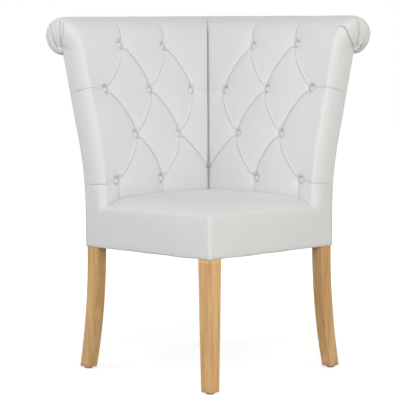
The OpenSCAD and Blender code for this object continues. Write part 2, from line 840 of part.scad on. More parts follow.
// Place on the end face and its rounded edge
function end_pt(i, j) =
    let (l = grid_rows[j][0], p = path_pt(l, 0), q = [p[0] - end_r * p[2], p[1] - end_r * p[3]],
        e = j >= gather_row ? gather_pt : wing_pt(cover_t + soft_gap, l),
        t = 30 * (i - 2))
    i == 0 ? [e[0], 0, e[1]]
    : i == 1 ? [(e[0] + q[0]) / 2, -end_bulge(j, 1), (e[1] + q[1]) / 2]
    : i == 2 ? [q[0], -end_bulge(j, 0.85), q[1]]
    : [q[0] + end_r * sin(t) * p[2], end_r * (1 - cos(t)) - end_bulge(j, 0.85) * cos(t),
        q[1] + end_r * sin(t) * p[3]];
// Inner face: the outer edge, the inner corner at the end, and the mitre
function inner_pt(i, j) =
    let (row = grid_rows[j], b = i < 2 ? hem_t : mitre_b(row[0], row[1]),
        p = path_pt(row[0] + row[1] * rise(b), b), x = p[0] - pad_t * p[2], z = p[1] - pad_t * p[3],
        e = end_pt(0, j))
    i == 0 ? [e[0], b, e[2]] : [x, i == 1 ? b : box_side + x - soft_gap / 2, z];
cover_points = concat(
    [for (j = [0:last_row], i = [0:last_col]) i < first_front ? end_pt(i, j) : front_pt(i, j)],
    [for (j = [0:last_row], i = [0:2]) inner_pt(i, j)]);
inner_start = col_count * (last_row + 1);
// Shift that sets the origin under the middle of the footprint, from the cover's widest points
shift = (max([for (p = cover_points) p[0]]) + min([for (p = cover_points) p[1]])) / 2;
function outer_id(i, j) =
    i == 0 && j > gather_row || i < 3 && j == last_row ? outer_id(0, gather_row) : j * col_count + i;
function inner_id(i, j) = i == 0 && j > gather_row ? inner_id(0, gather_row) : inner_start + 3 * j + i;
function quad(a, b, c, d) = [[a, b, c], [a, c, d]];
function sound(f) = f[0] != f[1] && f[1] != f[2] && f[2] != f[0];
cover_faces = [for (f = concat(
    [for (j = [0:last_row - 1], i = [0:last_col - 1])
        each quad(outer_id(i, j), outer_id(i + 1, j), outer_id(i + 1, j + 1), outer_id(i, j + 1))],
    [for (j = [0:last_row - 1], i = [0:1])
        each quad(inner_id(i, j), inner_id(i, j + 1), inner_id(i + 1, j + 1), inner_id(i + 1, j))],
    [for (j = [0:last_row - 1])
        each quad(outer_id(0, j), outer_id(0, j + 1), inner_id(0, j + 1), inner_id(0, j))],
    [for (j = [0:last_row - 1])
        each quad(outer_id(last_col, j), inner_id(2, j), inner_id(2, j + 1),
            outer_id(last_col, j + 1))],
    [for (i = [0:last_col - 1]) [outer_id(i, 0), inner_id(1, 0), outer_id(i + 1, 0)]],
    [[outer_id(0, 0), inner_id(0, 0), inner_id(1, 0)],
        [inner_id(1, 0), inner_id(2, 0), outer_id(last_col, 0)]],
    [for (i = [0:last_col - 1])
        [outer_id(i, last_row), outer_id(i + 1, last_row), inner_id(1, last_row)]],
    [[outer_id(0, last_row), inner_id(1, last_row), inner_id(0, last_row)],
        [inner_id(1, last_row), outer_id(last_col, last_row), inner_id(2, last_row)]])) if (sound(f)) f];
module buttoned_cover() {
    polyhedron(cover_points, cover_faces, convexity = 6);
}
module left_buttoned_cover() {
    color("white") left_frame() buttoned_cover();
}
module right_buttoned_cover() {
    color("white") right_frame() buttoned_cover();
}

// Elastic webbing over the seat rails, one layer each way
strap_reach = half - frame_in - rail_t / 3;
module straps(z) {
    step = (2 * (half - post_in) - 10) / strap_count;
    for (k = [0:strap_count - 1])
        placed() translate([-strap_reach, (k - (strap_count - 1) / 2) * step - strap_w / 2, z])
            cube([2 * strap_reach, strap_w, strap_t]);
}
module webbing_across() {
    color("dimgray") straps(rail_top);
}
module webbing_along() {
    color("gray") placed() rotate([0, 0, 90]) translate([-shift, shift, 0]) straps(rail_top + strap_t);
}
// Firm lower layer of foam, inside the rails' outer faces and clear of the posts
module seat_foam() {
    wall = leg_face + 1;
    front = frame_in + rail_t / 2;
    color("khaki") placed() translate([-half + wall, -half + front, foam_z])
        cube([box_side - wall - front, box_side - wall - front, base_foam_t]);
}

// Outline of the seat between the wings, from the front corner to the left wing and along it
side_steps = 13;
wing_steps = 8;
function ear_n(b) = b >= end_r ? seat_n
    : seat_ear_n + (seat_n - seat_ear_n) * sqrt(1 - pow(1 - b / end_r, 2));
function on_side(k) =
    [half - cover_corner_r - (box_side - seat_ear_n - cover_corner_r) * k / side_steps, -half];
half_outline = concat(
    [for (t = [45, 22.5])
        [half - cover_corner_r * (1 - sin(t)), -half + cover_corner_r * (1 - cos(t))]],
    [for (k = [0:side_steps]) on_side(k)],
    [for (k = [1:3]) let (b = end_r * k / 3) [-half + ear_n(b), -half + b]],
    [for (k = [1:wing_steps])
        [-half + seat_n, -half + end_r + (box_side - seat_n - end_r) * k / wing_steps]]);
outline = concat(half_outline,
    [for (k = [len(half_outline) - 2:-1:1]) [-half_outline[k][1], -half_outline[k][0]]]);
outline_n = len(outline);
seat_mid = [seat_n / 2, -seat_n / 2];
seat_reach = (box_side - seat_n) / 2;
// Whether a point of the outline, given by its number, lies on the open sides
open_count = side_steps + 3;
function on_open(m) = min(m, outline_n - m) < open_count;
function rise_over(d) = 1 - exp(-max(0, d) / crown_run);
function seat_z(p) =
    let (d = p[1] + half, e = half - p[0], ear = min(norm([p[0] + half - seat_ear_n, d]),
        norm([half - seat_ear_n - p[1], e])))
    seat_edge_z + seat_crown * rise_over(d) * rise_over(e) - seat_dip * exp(-ear / (1.5 * end_r));
function scaled(p, inset) = seat_mid + (p - seat_mid) * (1 - inset / seat_reach);
// A ring of the seat's surface, inset from the outline, with a drop below the crowned surface
// that is small along the wings
function seat_ring(inset, drop, under) = [for (m = [0:outline_n - 1]) let (p = scaled(outline[m], inset))
    [p[0], p[1], seat_z(p) - drop * (on_open(m) ? 1 : 0.15) - under]];
function flat_ring(inset, z_open, z_wing) = [for (m = [0:outline_n - 1])
    let (p = scaled(outline[m], inset)) [p[0], p[1], on_open(m) ? z_open : z_wing]];
top_insets = [42, 80, 125, 170];
seat_surface = concat(
    flat_ring(0, apron_z, topper_z),
    [for (t = [0, 30, 60, 90]) each seat_ring(seat_edge_r * (1 - cos(t)), seat_edge_r * (1 - sin(t)), 0)],
    [for (s = top_insets) each seat_ring(s, 0, 0)],
    [[seat_mid[0], seat_mid[1], seat_z(seat_mid)]]);
seat_lining = concat(
    flat_ring(hem_t, apron_z, topper_z),
    seat_ring(hem_t, seat_edge_r, 0),
    [for (s = concat([seat_edge_r], top_insets)) each seat_ring(s, 0, seat_cover_t)],
    [[seat_mid[0], seat_mid[1], seat_z(seat_mid) - seat_cover_t]]);
// Faces between rings of outline_n points, closed by a fan to the last point
function ring_faces(start, rings, turn) = [for (f = concat(
    [for (k = [0:rings - 2], m = [0:outline_n - 1]) let (a = start + k * outline_n, b = a + outline_n,
        n = (m + 1) % outline_n) each quad(a + m, a + n, b + n, b + m)],
    [for (m = [0:outline_n - 1]) [start + (rings - 1) * outline_n + m,
        start + (rings - 1) * outline_n + (m + 1) % outline_n, start + rings * outline_n]]))
    turn ? [f[2], f[1], f[0]] : f];
module seat_cover() {
    outer_rings = 5 + len(top_insets);
    lining_rings = 3 + len(top_insets);
    lining = len(seat_surface);
    hem = [for (m = [0:outline_n - 1]) let (n = (m + 1) % outline_n)
        each quad(m, lining + m, lining + n, n)];
    color("white") placed() polyhedron(concat(seat_surface, seat_lining),
        concat(ring_faces(0, outer_rings, false), ring_faces(lining, lining_rings, true), hem),
        convexity = 4);
}
// Soft crowned layer of foam on the firm one, just inside the cover
module seat_topper() {
    under = seat_cover_t + 2 * soft_gap;
    edge = hem_t + soft_gap + seat_edge_r / 2;
    points = concat(
        [[seat_mid[0], seat_mid[1], topper_z]],
        flat_ring(edge, topper_z, topper_z),
        [for (s = concat([seat_edge_r * 1.2], top_insets)) each seat_ring(s, 0, under)],
        [[seat_mid[0], seat_mid[1], seat_z(seat_mid) - under]]);
    rings = 2 + len(top_insets);
    base = [for (m = [0:outline_n - 1]) [0, 1 + (m + 1) % outline_n, 1 + m]];
    // Squared off at the wings, clear of the cover's hem there
    wall = half - seat_n - seat_edge_r / 2;
    squared = [for (p = points) [max(p[0], -wall), min(p[1], wall), p[2]]];
    color("lemonchiffon") placed()
        polyhedron(squared, concat(base, ring_faces(1, rings, false)), convexity = 4);
}

// Thin dark cloth that closes the underside, cut out round the legs
module dust_cover() {
    edge = frame_in + 1;
    color("dimgray") placed() difference() {
        translate([-half + edge, -half + edge, rail_z - dust_t])
            cube([box_side - 2 * edge, box_side - 2 * edge, dust_t]);
        for (x = [-1, 1], y = [-1, 1])
            translate([x * half, y * half, rail_z]) cube(2 * (front_face + 1), center = true);
    }
}

front_leg();
left_leg();
right_leg();
corner_leg();
glides();
front_left_rail();
front_right_rail();
back_left_rail();
back_right_rail();
rail_dowels();
corner_blocks();
block_screws();
left_low_rail();
right_low_rail();
left_top_rail();
right_top_rail();
back_rail_dowels();
left_roll_block();
right_roll_block();
left_back_panel();
right_back_panel();
left_panel_screws();
right_panel_screws();
left_back_foam();
right_back_foam();
left_roll_foam();
right_roll_foam();
left_buttoned_cover();
right_buttoned_cover();
left_buttons();
right_buttons();
left_twine();
right_twine();
left_washers();
right_washers();
left_outer_felt();
right_outer_felt();
left_outer_cover();
right_outer_cover();
webbing_across();
webbing_along();
seat_foam();
seat_topper();
seat_cover();
dust_cover();
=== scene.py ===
# %% [markdown]
# # A corner bench in tufted linen
#
# The real bench is a square sprung box on four oak legs, with two padded back wings that meet
# at the rear corner and roll outward at the top. The CAD model brings the hard frame; this
# notebook sews the soft parts over it, one piece at a time, and paints every surface.
# Loading the frame comes first, because each later shape is measured from it.

# %% Load the frame
import json
import math
import bpy
import numpy as np
from mathutils import Matrix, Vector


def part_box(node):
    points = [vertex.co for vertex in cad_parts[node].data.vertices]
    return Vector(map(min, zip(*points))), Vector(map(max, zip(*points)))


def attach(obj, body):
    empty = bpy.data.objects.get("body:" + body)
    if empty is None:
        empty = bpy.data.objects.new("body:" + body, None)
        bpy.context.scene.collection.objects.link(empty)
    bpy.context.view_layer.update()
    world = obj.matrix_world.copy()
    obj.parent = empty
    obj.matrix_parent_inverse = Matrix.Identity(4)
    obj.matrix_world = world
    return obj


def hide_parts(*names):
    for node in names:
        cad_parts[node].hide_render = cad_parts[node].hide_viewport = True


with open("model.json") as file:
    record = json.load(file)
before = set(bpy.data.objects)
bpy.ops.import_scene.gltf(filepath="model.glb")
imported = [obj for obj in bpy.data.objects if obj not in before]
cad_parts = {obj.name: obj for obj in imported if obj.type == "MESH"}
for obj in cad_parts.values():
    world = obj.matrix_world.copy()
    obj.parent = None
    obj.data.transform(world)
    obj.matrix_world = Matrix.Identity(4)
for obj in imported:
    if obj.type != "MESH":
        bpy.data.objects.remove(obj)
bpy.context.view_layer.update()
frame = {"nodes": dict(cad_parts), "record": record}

# %% [markdown]
# The camera stands where the photographer stood: a long lens, almost level, looking at the
# front corner of the seat. It could be placed by eye, but a fit of the known corners gave the
# position, the slight downward pitch and the quarter-degree roll, which are written here.

# %% Camera
EYE = (2.5626, -2.5834, 0.7314)
HEADING = (-0.70909, 0.70513)
PITCH = 0.07335
ROLL = 0.00436
LENS_MM = 115.53

def look_matrix(eye, heading, pitch, roll):
    """Rotation whose -Z column is the view direction: heading turned down by pitch, then rolled."""
    f = np.array([heading[0] * math.cos(pitch), heading[1] * math.cos(pitch), -math.sin(pitch)])
    right = np.cross(f, [0, 0, 1])
    right /= np.linalg.norm(right)
    up = np.cross(right, f)
    right, up = right - roll * up, up + roll * right
    m = np.eye(4)
    m[:3, 0], m[:3, 1], m[:3, 2], m[:3, 3] = right, up, -f, eye
    return m

camera = bpy.data.objects.new("camera", bpy.data.cameras.new("camera"))
bpy.context.scene.collection.objects.link(camera)
camera.matrix_world = Matrix(look_matrix(EYE, HEADING, PITCH, ROLL).tolist())
camera.data.sensor_fit = "HORIZONTAL"
camera.data.sensor_width = 36
camera.data.lens = LENS_MM
bpy.context.scene.camera = camera
bpy.context.scene.view_settings.view_transform = "Standard"
print("camera at", EYE, "lens", LENS_MM, "mm")

# %% [markdown]
# Every surface gets a procedural material, and the studio's paper and sky are node trees too.
# Nodes could be joined one call at a time, but a small class that adds a node, sets its inputs
# and returns its output keeps each recipe as short as the formula that it stands for.

# %% Node helpers
class Tree:
    """The node tree of a material or world, with short ways to add the nodes used here."""
    def __init__(self, owner):
        owner.use_nodes = True
        self.nodes, self.links = owner.node_tree.nodes, owner.node_tree.links
        self.shader = self.nodes.get("Principled BSDF")

    def put(self, socket, value):
        """Gives an input its value: a number, a vector, a colour, or another node's output."""
        if isinstance(value, bpy.types.NodeSocket):
            self.links.new(value, socket)
        elif isinstance(value, tuple) and len(socket.default_value) == 4:
            socket.default_value = (*value, 1)
        else:
            socket.default_value = value

    def add(self, kind, inputs=None, out=0, **settings):
        """Adds a node with its settings and inputs, and returns one of its outputs."""
        node = self.nodes.new("ShaderNode" + kind)
        for key, value in settings.items():
            setattr(node, key, value)
        for key, value in (inputs or {}).items():
            self.put(node.inputs[key], value)
        return node.outputs[out]

    def math(self, operation, *values):
        return self.add("Math", dict(enumerate(values)), operation=operation)

    def mul_add(self, a, b, c):
        """a * b + c"""
        return self.math("MULTIPLY_ADD", a, b, c)

    def noise(self, vector, scale, detail=3, rough=0.55):
        return self.add("TexNoise", {"Vector": vector, "Scale": scale, "Detail": detail, "Roughness": rough})

    def stretched(self, vector, scale):
        return self.add("Mapping", {"Vector": vector, "Scale": scale})

    def mix(self, factor, a, b):
        """Colour a where the factor is 0 and b where it is 1; 6, 7 and 2 are the colour sockets."""
        return self.add("Mix", {0: factor, 6: a, 7: b}, out=2, data_type="RGBA")

    def ramp(self, factor, stops):
        """Colours along a factor; stops are (place, linear colour)."""
        node = self.nodes.new("ShaderNodeValToRGB")
        stop_at = node.color_ramp.elements
        while len(stop_at) < len(stops):
            stop_at.new(0.5)
        for element, (place_, colour) in zip(stop_at, stops):
            element.position, element.color = place_, (*colour, 1)
        self.put(node.inputs[0], factor)
        return node.outputs[0]

    def shade(self, **inputs):
        """Sets inputs of the surface's shader; an underscore in a name stands for a space."""
        for key, value in inputs.items():
            self.put(self.shader.inputs[key.replace("_", " ")], value)

    def bump(self, height, distance, strength):
        self.shade(Normal=self.add("Bump", {"Height": height, "Distance": distance, "Strength": strength}))

print("node helpers ready")

# %% [markdown]
# A studio sweep surrounds a furniture photograph: white floor, white wall, broad soft lamps.
# The world is white to the camera and to reflections, and only dim as a light. One large box
# stands near the camera; lower and higher lamps on both sides were weighed against it until
# each face of the bench was as bright as in the photograph: faces towards +X a little warmer,
# faces towards -Y a little cooler. Two more keep the outer backs readable from behind.

# %% Studio
AMBIENT = 0.10
FLOOR_SIDE, PAPER_TONE, PAPER_LIFT = 60.0, 0.55, 0.64
LIFT_FROM, LIFT_TO = 0.5, 2.2
MIDDLE = (0, 0, 0.6)
# Name, place, what it points at, side of the square, watts, colour.
LAMPS = [
    ("front_box", (2.6, -2.6, 2.0), MIDDLE, 2.4, 85, (0.985, 0.985, 0.99)),
    ("near_left", (-1.0, -2.0, 1.75), (-0.1, -0.2, 0.9), 2.0, 14, (1.0, 0.95, 0.88)),
    ("warm_right", (3.0, -1.0, 0.35), (-0.1, -0.1, 0.25), 1.2, 13, (1.0, 0.97, 0.80)),
    ("high_right", (2.6, 0.4, 3.0), MIDDLE, 2.4, 34, (0.98, 0.95, 0.84)),
    ("high_left", (-0.4, -2.6, 3.0), MIDDLE, 2.4, 20, (0.92, 1.0, 0.93)),
    ("back_left", (-3.2, -0.6, 2.0), MIDDLE, 2.4, 20, (0.85, 0.90, 1.0)),
    ("back_right", (0.6, 3.2, 2.0), MIDDLE, 2.4, 34, (1.0, 1.0, 0.93))]

def add_area(name, place, target, size, watts, colour):
    """A square soft lamp at place, turned so that its -Z axis points at target."""
    lamp = bpy.data.lights.new(name, "AREA")
    lamp.shape, lamp.size, lamp.energy, lamp.color = "SQUARE", size, watts, colour
    o = bpy.data.objects.new(name, lamp)
    d = np.array(target, float) - np.array(place, float)
    d /= np.linalg.norm(d)
    side = np.cross(d, [0, 0, 1])
    side /= np.linalg.norm(side)
    m = np.eye(4)
    m[:3, 0], m[:3, 1], m[:3, 2], m[:3, 3] = side, np.cross(side, d), -d, place
    o.matrix_world = Matrix(m.tolist())
    bpy.context.scene.collection.objects.link(o)

for lamp_facts in LAMPS:
    add_area(*lamp_facts)

world = bpy.data.worlds.new("studio")
bpy.context.scene.world = world
sky = Tree(world)
sky.nodes.clear()
rays = sky.nodes.new("ShaderNodeLightPath").outputs
seen_ray = sky.math("MAXIMUM", rays["Is Camera Ray"], rays["Is Glossy Ray"])
seen_ray = sky.math("MAXIMUM", seen_ray, rays["Is Transmission Ray"])
room = sky.add("Background", {"Color": (0.95, 0.97, 1.0), "Strength": AMBIENT})
white = sky.add("Background", {"Color": (1.0, 1.0, 1.0), "Strength": 1.0})
sky.put(sky.nodes.new("ShaderNodeOutputWorld").inputs[0], sky.add("MixShader", {0: seen_ray, 1: room, 2: white}))

# The camera sees the paper lifted towards white, fully so away from the bench, so that the floor
# has no far edge. Other rays see only the plain paper, and the bench's shadow stays.
floor_mesh = bpy.data.meshes.new("floor")
far = FLOOR_SIDE / 2
floor_mesh.from_pydata([(-far, -far, 0), (far, -far, 0), (far, far, 0), (-far, far, 0)], [], [(0, 1, 2, 3)])
floor = bpy.data.objects.new("floor", floor_mesh)
bpy.context.scene.collection.objects.link(floor)
paper = bpy.data.materials.new("white_sweep")
g = Tree(paper)
away = g.add("VectorMath", {0: g.add("TexCoord", out="Object")}, out="Value", operation="LENGTH")
glow = g.add("MapRange", {"Value": away, "From Min": LIFT_FROM, "From Max": LIFT_TO, "To Min": PAPER_LIFT,
                          "To Max": 1.0}, interpolation_type="SMOOTHSTEP")
g.shade(Base_Color=(PAPER_TONE,) * 3, Roughness=0.9, Emission_Color=(1.0, 1.0, 1.0),
        Emission_Strength=g.math("MULTIPLY", glow, g.add("LightPath", out="Is Camera Ray")))
floor_mesh.materials.append(paper)
print(len(LAMPS), "soft lamps, ambient", AMBIENT)

# %% [markdown]
# Every new piece below is a surface worked out with numpy. A grid of points goes into a mesh as
# four-cornered faces, thin covers are two such grids joined round their sides, and a helper
# turns the whole shell outward if it came out inside out.

# %% Mesh helpers
def grid_faces(rows, cols, start=0, wrap=False):
    """Quads between neighbouring points of a rows x cols grid whose points are numbered from
    start; wrap also joins the last column to the first."""
    ids = start + np.arange(rows * cols).reshape(rows, cols)
    if wrap:
        ids = np.concatenate([ids, ids[:, :1]], axis=1)
    a, b, c, d = ids[:-1, :-1], ids[:-1, 1:], ids[1:, 1:], ids[1:, :-1]
    return np.stack([a, b, c, d], axis=-1).reshape(-1, 4)

def strip(p, q):
    """Quads between two equally long rows of point numbers."""
    return np.stack([p[:-1], p[1:], q[1:], q[:-1]], axis=-1)

def shell_faces(rows, cols, start=0):
    """Quads of a thin closed box: a grid, a second grid behind it that is numbered straight after
    it and faces the other way, and strips round the four sides."""
    a = start + np.arange(rows * cols).reshape(rows, cols)
    b = a + rows * cols
    return np.concatenate([
        grid_faces(rows, cols, start), grid_faces(rows, cols, start + rows * cols)[:, ::-1],
        strip(a[0], b[0])[:, ::-1], strip(a[-1], b[-1]),
        strip(a[:, 0], b[:, 0]), strip(a[:, -1], b[:, -1])[:, ::-1]])

def volume_of(points, triangles):
    """Signed volume: the sum of each triangle's tetrahedron with the origin."""
    a, b, c = (points[triangles[:, k]] for k in range(3))
    return float((a * np.cross(b, c)).sum() / 6)

def make_piece(name, points, quads, tris=None, uv=None, smooth=True):
    """A mesh object at the origin from numpy points, quads and triangles. Its faces are turned
    so that the enclosed volume is positive. uv gives one pair of metres for each point; smooth
    is one value, or one for each face."""
    faces = quads.tolist() + ([] if tris is None else tris.tolist())
    all_tris = np.concatenate([quads[:, [0, 1, 2]], quads[:, [0, 2, 3]]]
                              + ([] if tris is None else [tris]))
    if volume_of(points, all_tris) < 0:
        faces = [f[::-1] for f in faces]
    mesh = bpy.data.meshes.new(name)
    mesh.from_pydata(points.tolist(), [], faces)
    mesh.update()
    mesh.polygons.foreach_set("use_smooth", np.array(np.broadcast_to(smooth, len(faces))))
    if uv is not None:
        layer = mesh.uv_layers.new(name="cloth")
        corner = np.empty(len(mesh.loops), dtype=np.int32)
        mesh.loops.foreach_get("vertex_index", corner)
        layer.data.foreach_set("uv", uv[corner].astype(np.float32).ravel())
    o = bpy.data.objects.new(name, mesh)
    bpy.context.scene.collection.objects.link(o)
    print(f"{name}: {len(points)} points, {len(faces)} faces")
    return o

print("mesh helpers ready")

# %% [markdown]
# Cloth is the main finish. The cover is an off-white linen mix with fine upright stripes about
# a centimetre apart, and close up it is a plain weave of slightly uneven threads. The stripes
# and threads follow the cloth, so they read a UV map that is laid out in metres; a pattern in
# object space would run straight through the pleats instead. Where a piece has no such map the
# same weave is laid by position.

# %% Linen
STRIPE, THREAD = 0.0098, 0.00075
LINEN_LIGHT, LINEN_DARK = (0.743, 0.749, 0.758), (0.682, 0.690, 0.704)
# Near black that the cloth's colour is mixed towards: painted shade in the creases, gathers and round the
# buttons.
LINEN_FOLD_SHADE = (0.16, 0.15, 0.14)

def linen_material(name, cloth_map=True):
    """Stripes and threads are sine waves of the cloth's two directions; slow noise moves them a
    little and makes slubs, and the fuzz of the yarn is sheen. Where the point attribute read here is
    above 0, the colour is mixed towards near black: painted shade in the creases, gathers and button rims, where
    the real folds fall into shadow."""
    m = bpy.data.materials.new(name)
    g = Tree(m)
    here = g.add("TexCoord", out="Object")
    flat = g.add("UVMap", uv_map="cloth") if cloth_map else here
    u, v = (g.add("SeparateXYZ", {0: flat}, out=k) for k in (0, 1))
    wave = lambda along, length: g.math("SINE", g.math("MULTIPLY", along, 2 * math.pi / length))
    shifted = g.mul_add(g.noise(here, 14, 2), 0.0016, u)
    stripe = g.mul_add(wave(shifted, STRIPE), 0.5, 0.5)
    weave = g.math("MULTIPLY", wave(shifted, THREAD), wave(v, THREAD))
    slub = g.noise(g.stretched(flat, (900, 60, 1)), 1.0, 2)
    patch = g.noise(here, 5.5, 4)
    tone = g.mul_add(slub, 0.40, g.mul_add(patch, 0.45, -0.12))
    tone = g.mul_add(weave, 0.10, g.mul_add(stripe, 0.30, tone))
    colour = g.ramp(tone, [(0.0, LINEN_DARK), (1.0, LINEN_LIGHT)])
    # Painted shade: a point attribute from the tufted backs mixes the colour towards near black along pleats,
    # gathers and button rims.
    if cloth_map:
        colour = g.mix(g.add("Attribute", out="Fac", attribute_name="fold"), colour, LINEN_FOLD_SHADE)
    g.shade(Base_Color=colour, Roughness=g.mul_add(slub, 0.12, 0.80), Sheen_Weight=0.25,
            Sheen_Roughness=0.45, Sheen_Tint=(0.95, 0.96, 1.0), Specular_IOR_Level=0.25)
    g.bump(g.mul_add(slub, 0.6, g.mul_add(stripe, 0.6, g.math("MULTIPLY", weave, 0.5))), 0.00022, 0.55)
    return m

LINEN = linen_material("linen_striped")
LINEN_PLAIN = linen_material("linen_by_place", cloth_map=False)
print("linen: stripes", STRIPE * 1000, "mm, threads", THREAD * 1000, "mm")

# %% [markdown]
# The legs are pale oak under clear lacquer: long straight grain, darker growth lines, and fine
# dark pores drawn out along the leg. Noise stretched along Z makes all three.

# %% Woods
PORE_FROM, PORE_MIX, PORE_DEPTH = 0.66, 0.35, 0.8

def wood_material(name, light, mid, dark, gloss, across):
    """Grain is noise squeezed across the length: broad figure, growth lines, then pores. across
    is 1 for each axis that runs across the grain and 0 for the one along it."""
    m = bpy.data.materials.new(name)
    g = Tree(m)
    here = g.add("TexCoord", out="Object")
    def drawn_out(wide, long, detail, rough=0.55):
        scale = tuple(wide if a else long for a in across)
        return g.noise(g.stretched(here, scale), 1.0, detail, rough)
    figure, lines, pores = drawn_out(16, 1.6, 3), drawn_out(170, 5, 4, 0.6), drawn_out(900, 30, 2)
    grain = g.ramp(g.mul_add(lines, 0.55, g.math("MULTIPLY", figure, 0.45)),
                   [(0.36, dark), (0.50, mid), (0.63, light)])
    pit = g.math("GREATER_THAN", pores, PORE_FROM)
    g.shade(Base_Color=g.mix(g.math("MULTIPLY", pit, PORE_MIX), grain, tuple(0.6 * c for c in dark)),
            Roughness=g.mul_add(lines, 0.16, gloss))
    g.bump(g.mul_add(pit, -PORE_DEPTH, lines), 0.00018, 0.35)
    return m

OAK = wood_material("oak_lacquered", (0.79, 0.515, 0.265), (0.655, 0.390, 0.168), (0.50, 0.275, 0.100),
                    0.36, (1, 1, 0))
FRAME_WOOD = wood_material("frame_beech", (0.66, 0.50, 0.33), (0.58, 0.42, 0.26), (0.46, 0.31, 0.18),
                           0.62, (1, 0, 1))
PLYWOOD = wood_material("birch_ply", (0.72, 0.58, 0.40), (0.66, 0.51, 0.34), (0.55, 0.40, 0.25),
                        0.65, (1, 1, 0))
print("woods: lacquered oak legs, plain frame wood, birch plywood")

# %% [markdown]
# The frame is hidden in the finished bench, but each inner piece still gets the finish that an
# upholsterer would find: plywood, foam, felt, webbing, zinc-plated screws and moulded glides.

# %% Inner materials
def speckled_material(name, light, dark, scale, rough, depth, metal=0.0, sheen=0.0):
    """A simple finish: two-scale noise between two tones, with matching roughness and bump."""
    m = bpy.data.materials.new(name)
    g = Tree(m)
    here = g.add("TexCoord", out="Object")
    coarse, fine = g.noise(here, scale, 4), g.noise(here, scale * 9, 2)
    tone = g.mul_add(fine, 0.5, g.math("MULTIPLY", coarse, 0.5))
    g.shade(Base_Color=g.ramp(tone, [(0.35, dark), (0.65, light)]), Roughness=g.mul_add(fine, 0.15, rough),
            Metallic=metal, Sheen_Weight=sheen)
    g.bump(tone, depth, 0.5)
    return m

# Slot: material name, light and dark tone, scale of the noise, roughness, depth of the bump, and
# where they aren't 0 metal and sheen.
SPECKLED = {
    "foam": ("foam", (0.80, 0.74, 0.52), (0.68, 0.60, 0.38), 160, 0.85, 0.0006),
    "felt": ("felt", (0.56, 0.56, 0.55), (0.44, 0.44, 0.44), 220, 0.9, 0.0004, 0.0, 0.3),
    "webbing": ("webbing", (0.18, 0.17, 0.16), (0.10, 0.095, 0.09), 400, 0.85, 0.0003),
    "dust_cloth": ("dust_cloth", (0.06, 0.06, 0.065), (0.035, 0.035, 0.04), 700, 0.8, 0.0002),
    "twine": ("waxed_twine", (0.72, 0.68, 0.58), (0.58, 0.53, 0.43), 900, 0.6, 0.0002),
    "steel": ("zinc_steel", (0.60, 0.60, 0.61), (0.48, 0.48, 0.50), 300, 0.32, 0.0001, 1.0),
    "glide_grey": ("glide_plastic", (0.36, 0.37, 0.38), (0.29, 0.30, 0.31), 260, 0.42, 0.0001),
}
FINISHES = {"natural_oak": OAK, "frame_wood": FRAME_WOOD, "linen": LINEN_PLAIN, "plywood": PLYWOOD,
            **{slot: speckled_material(*facts) for slot, facts in SPECKLED.items()}}
slot_of = {p["node"]: p["material_slot"] for p in frame["record"]["subparts"]}
for node_name, node in frame["nodes"].items():
    node.data.materials.clear()
    node.data.materials.append(FINISHES[slot_of[node_name]])
print("finishes on", len(frame["nodes"]), "frame nodes")

# %% [markdown]
# The wings lean back along a large arc and then straight, and their padding bends over into a
# scroll. The plan of the real back is a section swept along the wing, so the same few radii
# that drive the solid frame are written here once more, in metres.

# %% Real sizes
BOX, APRON_Z, EDGE_Z = 0.484, 0.345, 0.456
HALF = BOX / 2
FRAME_IN, RAIL_TOP = 0.00395, 0.417
WING_T, LEAN_Z, LEAN, LEAN_R = 0.076, 0.440, math.radians(15), 0.750
CREST_H, CREST_RISE, ROLL_R, ROLL_OUT = 0.980, 0.029, 0.053, 0.107
BLEND_R, END_R, POST_T = 0.095, 0.020, 0.034
SHIFT = -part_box("front_left_rail")[0][1] - HALF + FRAME_IN
SEAM_GAP = 0.00015

PAD_R = LEAN_R + WING_T
ARC_L = PAD_R * LEAN
LEAN_T = np.array([math.sin(LEAN), math.cos(LEAN)])
LEAN_N = np.array([math.cos(LEAN), -math.sin(LEAN)])
TILT = CREST_RISE / math.cos(LEAN) / (BOX + ROLL_OUT)

def wing_pt(n, l):
    """Section of a wing: the point n inside the outer face at the distance l along the padding,
    as x outward and z up. Below the lean it is upright, then an arc, then straight."""
    n, l = np.broadcast_arrays(np.asarray(n, float), np.asarray(l, float))
    f = np.clip(l / PAD_R, 0, LEAN)
    r = LEAN_R + n
    past = np.where(l < 0, l, np.maximum(0, l - ARC_L))
    return (LEAN_R - r * np.cos(f) + past * np.sin(f), LEAN_Z + r * np.sin(f) + past * np.cos(f))

ROLL_C = np.array([ROLL_OUT, CREST_H - ROLL_R])
LINE_START = np.array(wing_pt(WING_T, ARC_L))
C_IN = float((ROLL_C - LINE_START) @ LEAN_N)
C_L = ARC_L + float((ROLL_C - LINE_START) @ LEAN_T)
BLEND_L = C_L - math.sqrt((BLEND_R - ROLL_R) ** 2 - (BLEND_R - C_IN) ** 2)
BLEND_C = LINE_START + (BLEND_L - ARC_L) * LEAN_T + BLEND_R * LEAN_N
JOIN_A = math.atan2(ROLL_C[1] - BLEND_C[1], ROLL_C[0] - BLEND_C[0])
JOIN_L = BLEND_L + BLEND_R * (math.pi - LEAN - JOIN_A)
NECK_A = -math.pi / 2 - LEAN - math.asin((FRAME_IN - WING_T + C_IN) / ROLL_R)
END_L = JOIN_L + ROLL_R * (JOIN_A - NECK_A)
NECK_L = C_L - ROLL_R - 0.0003

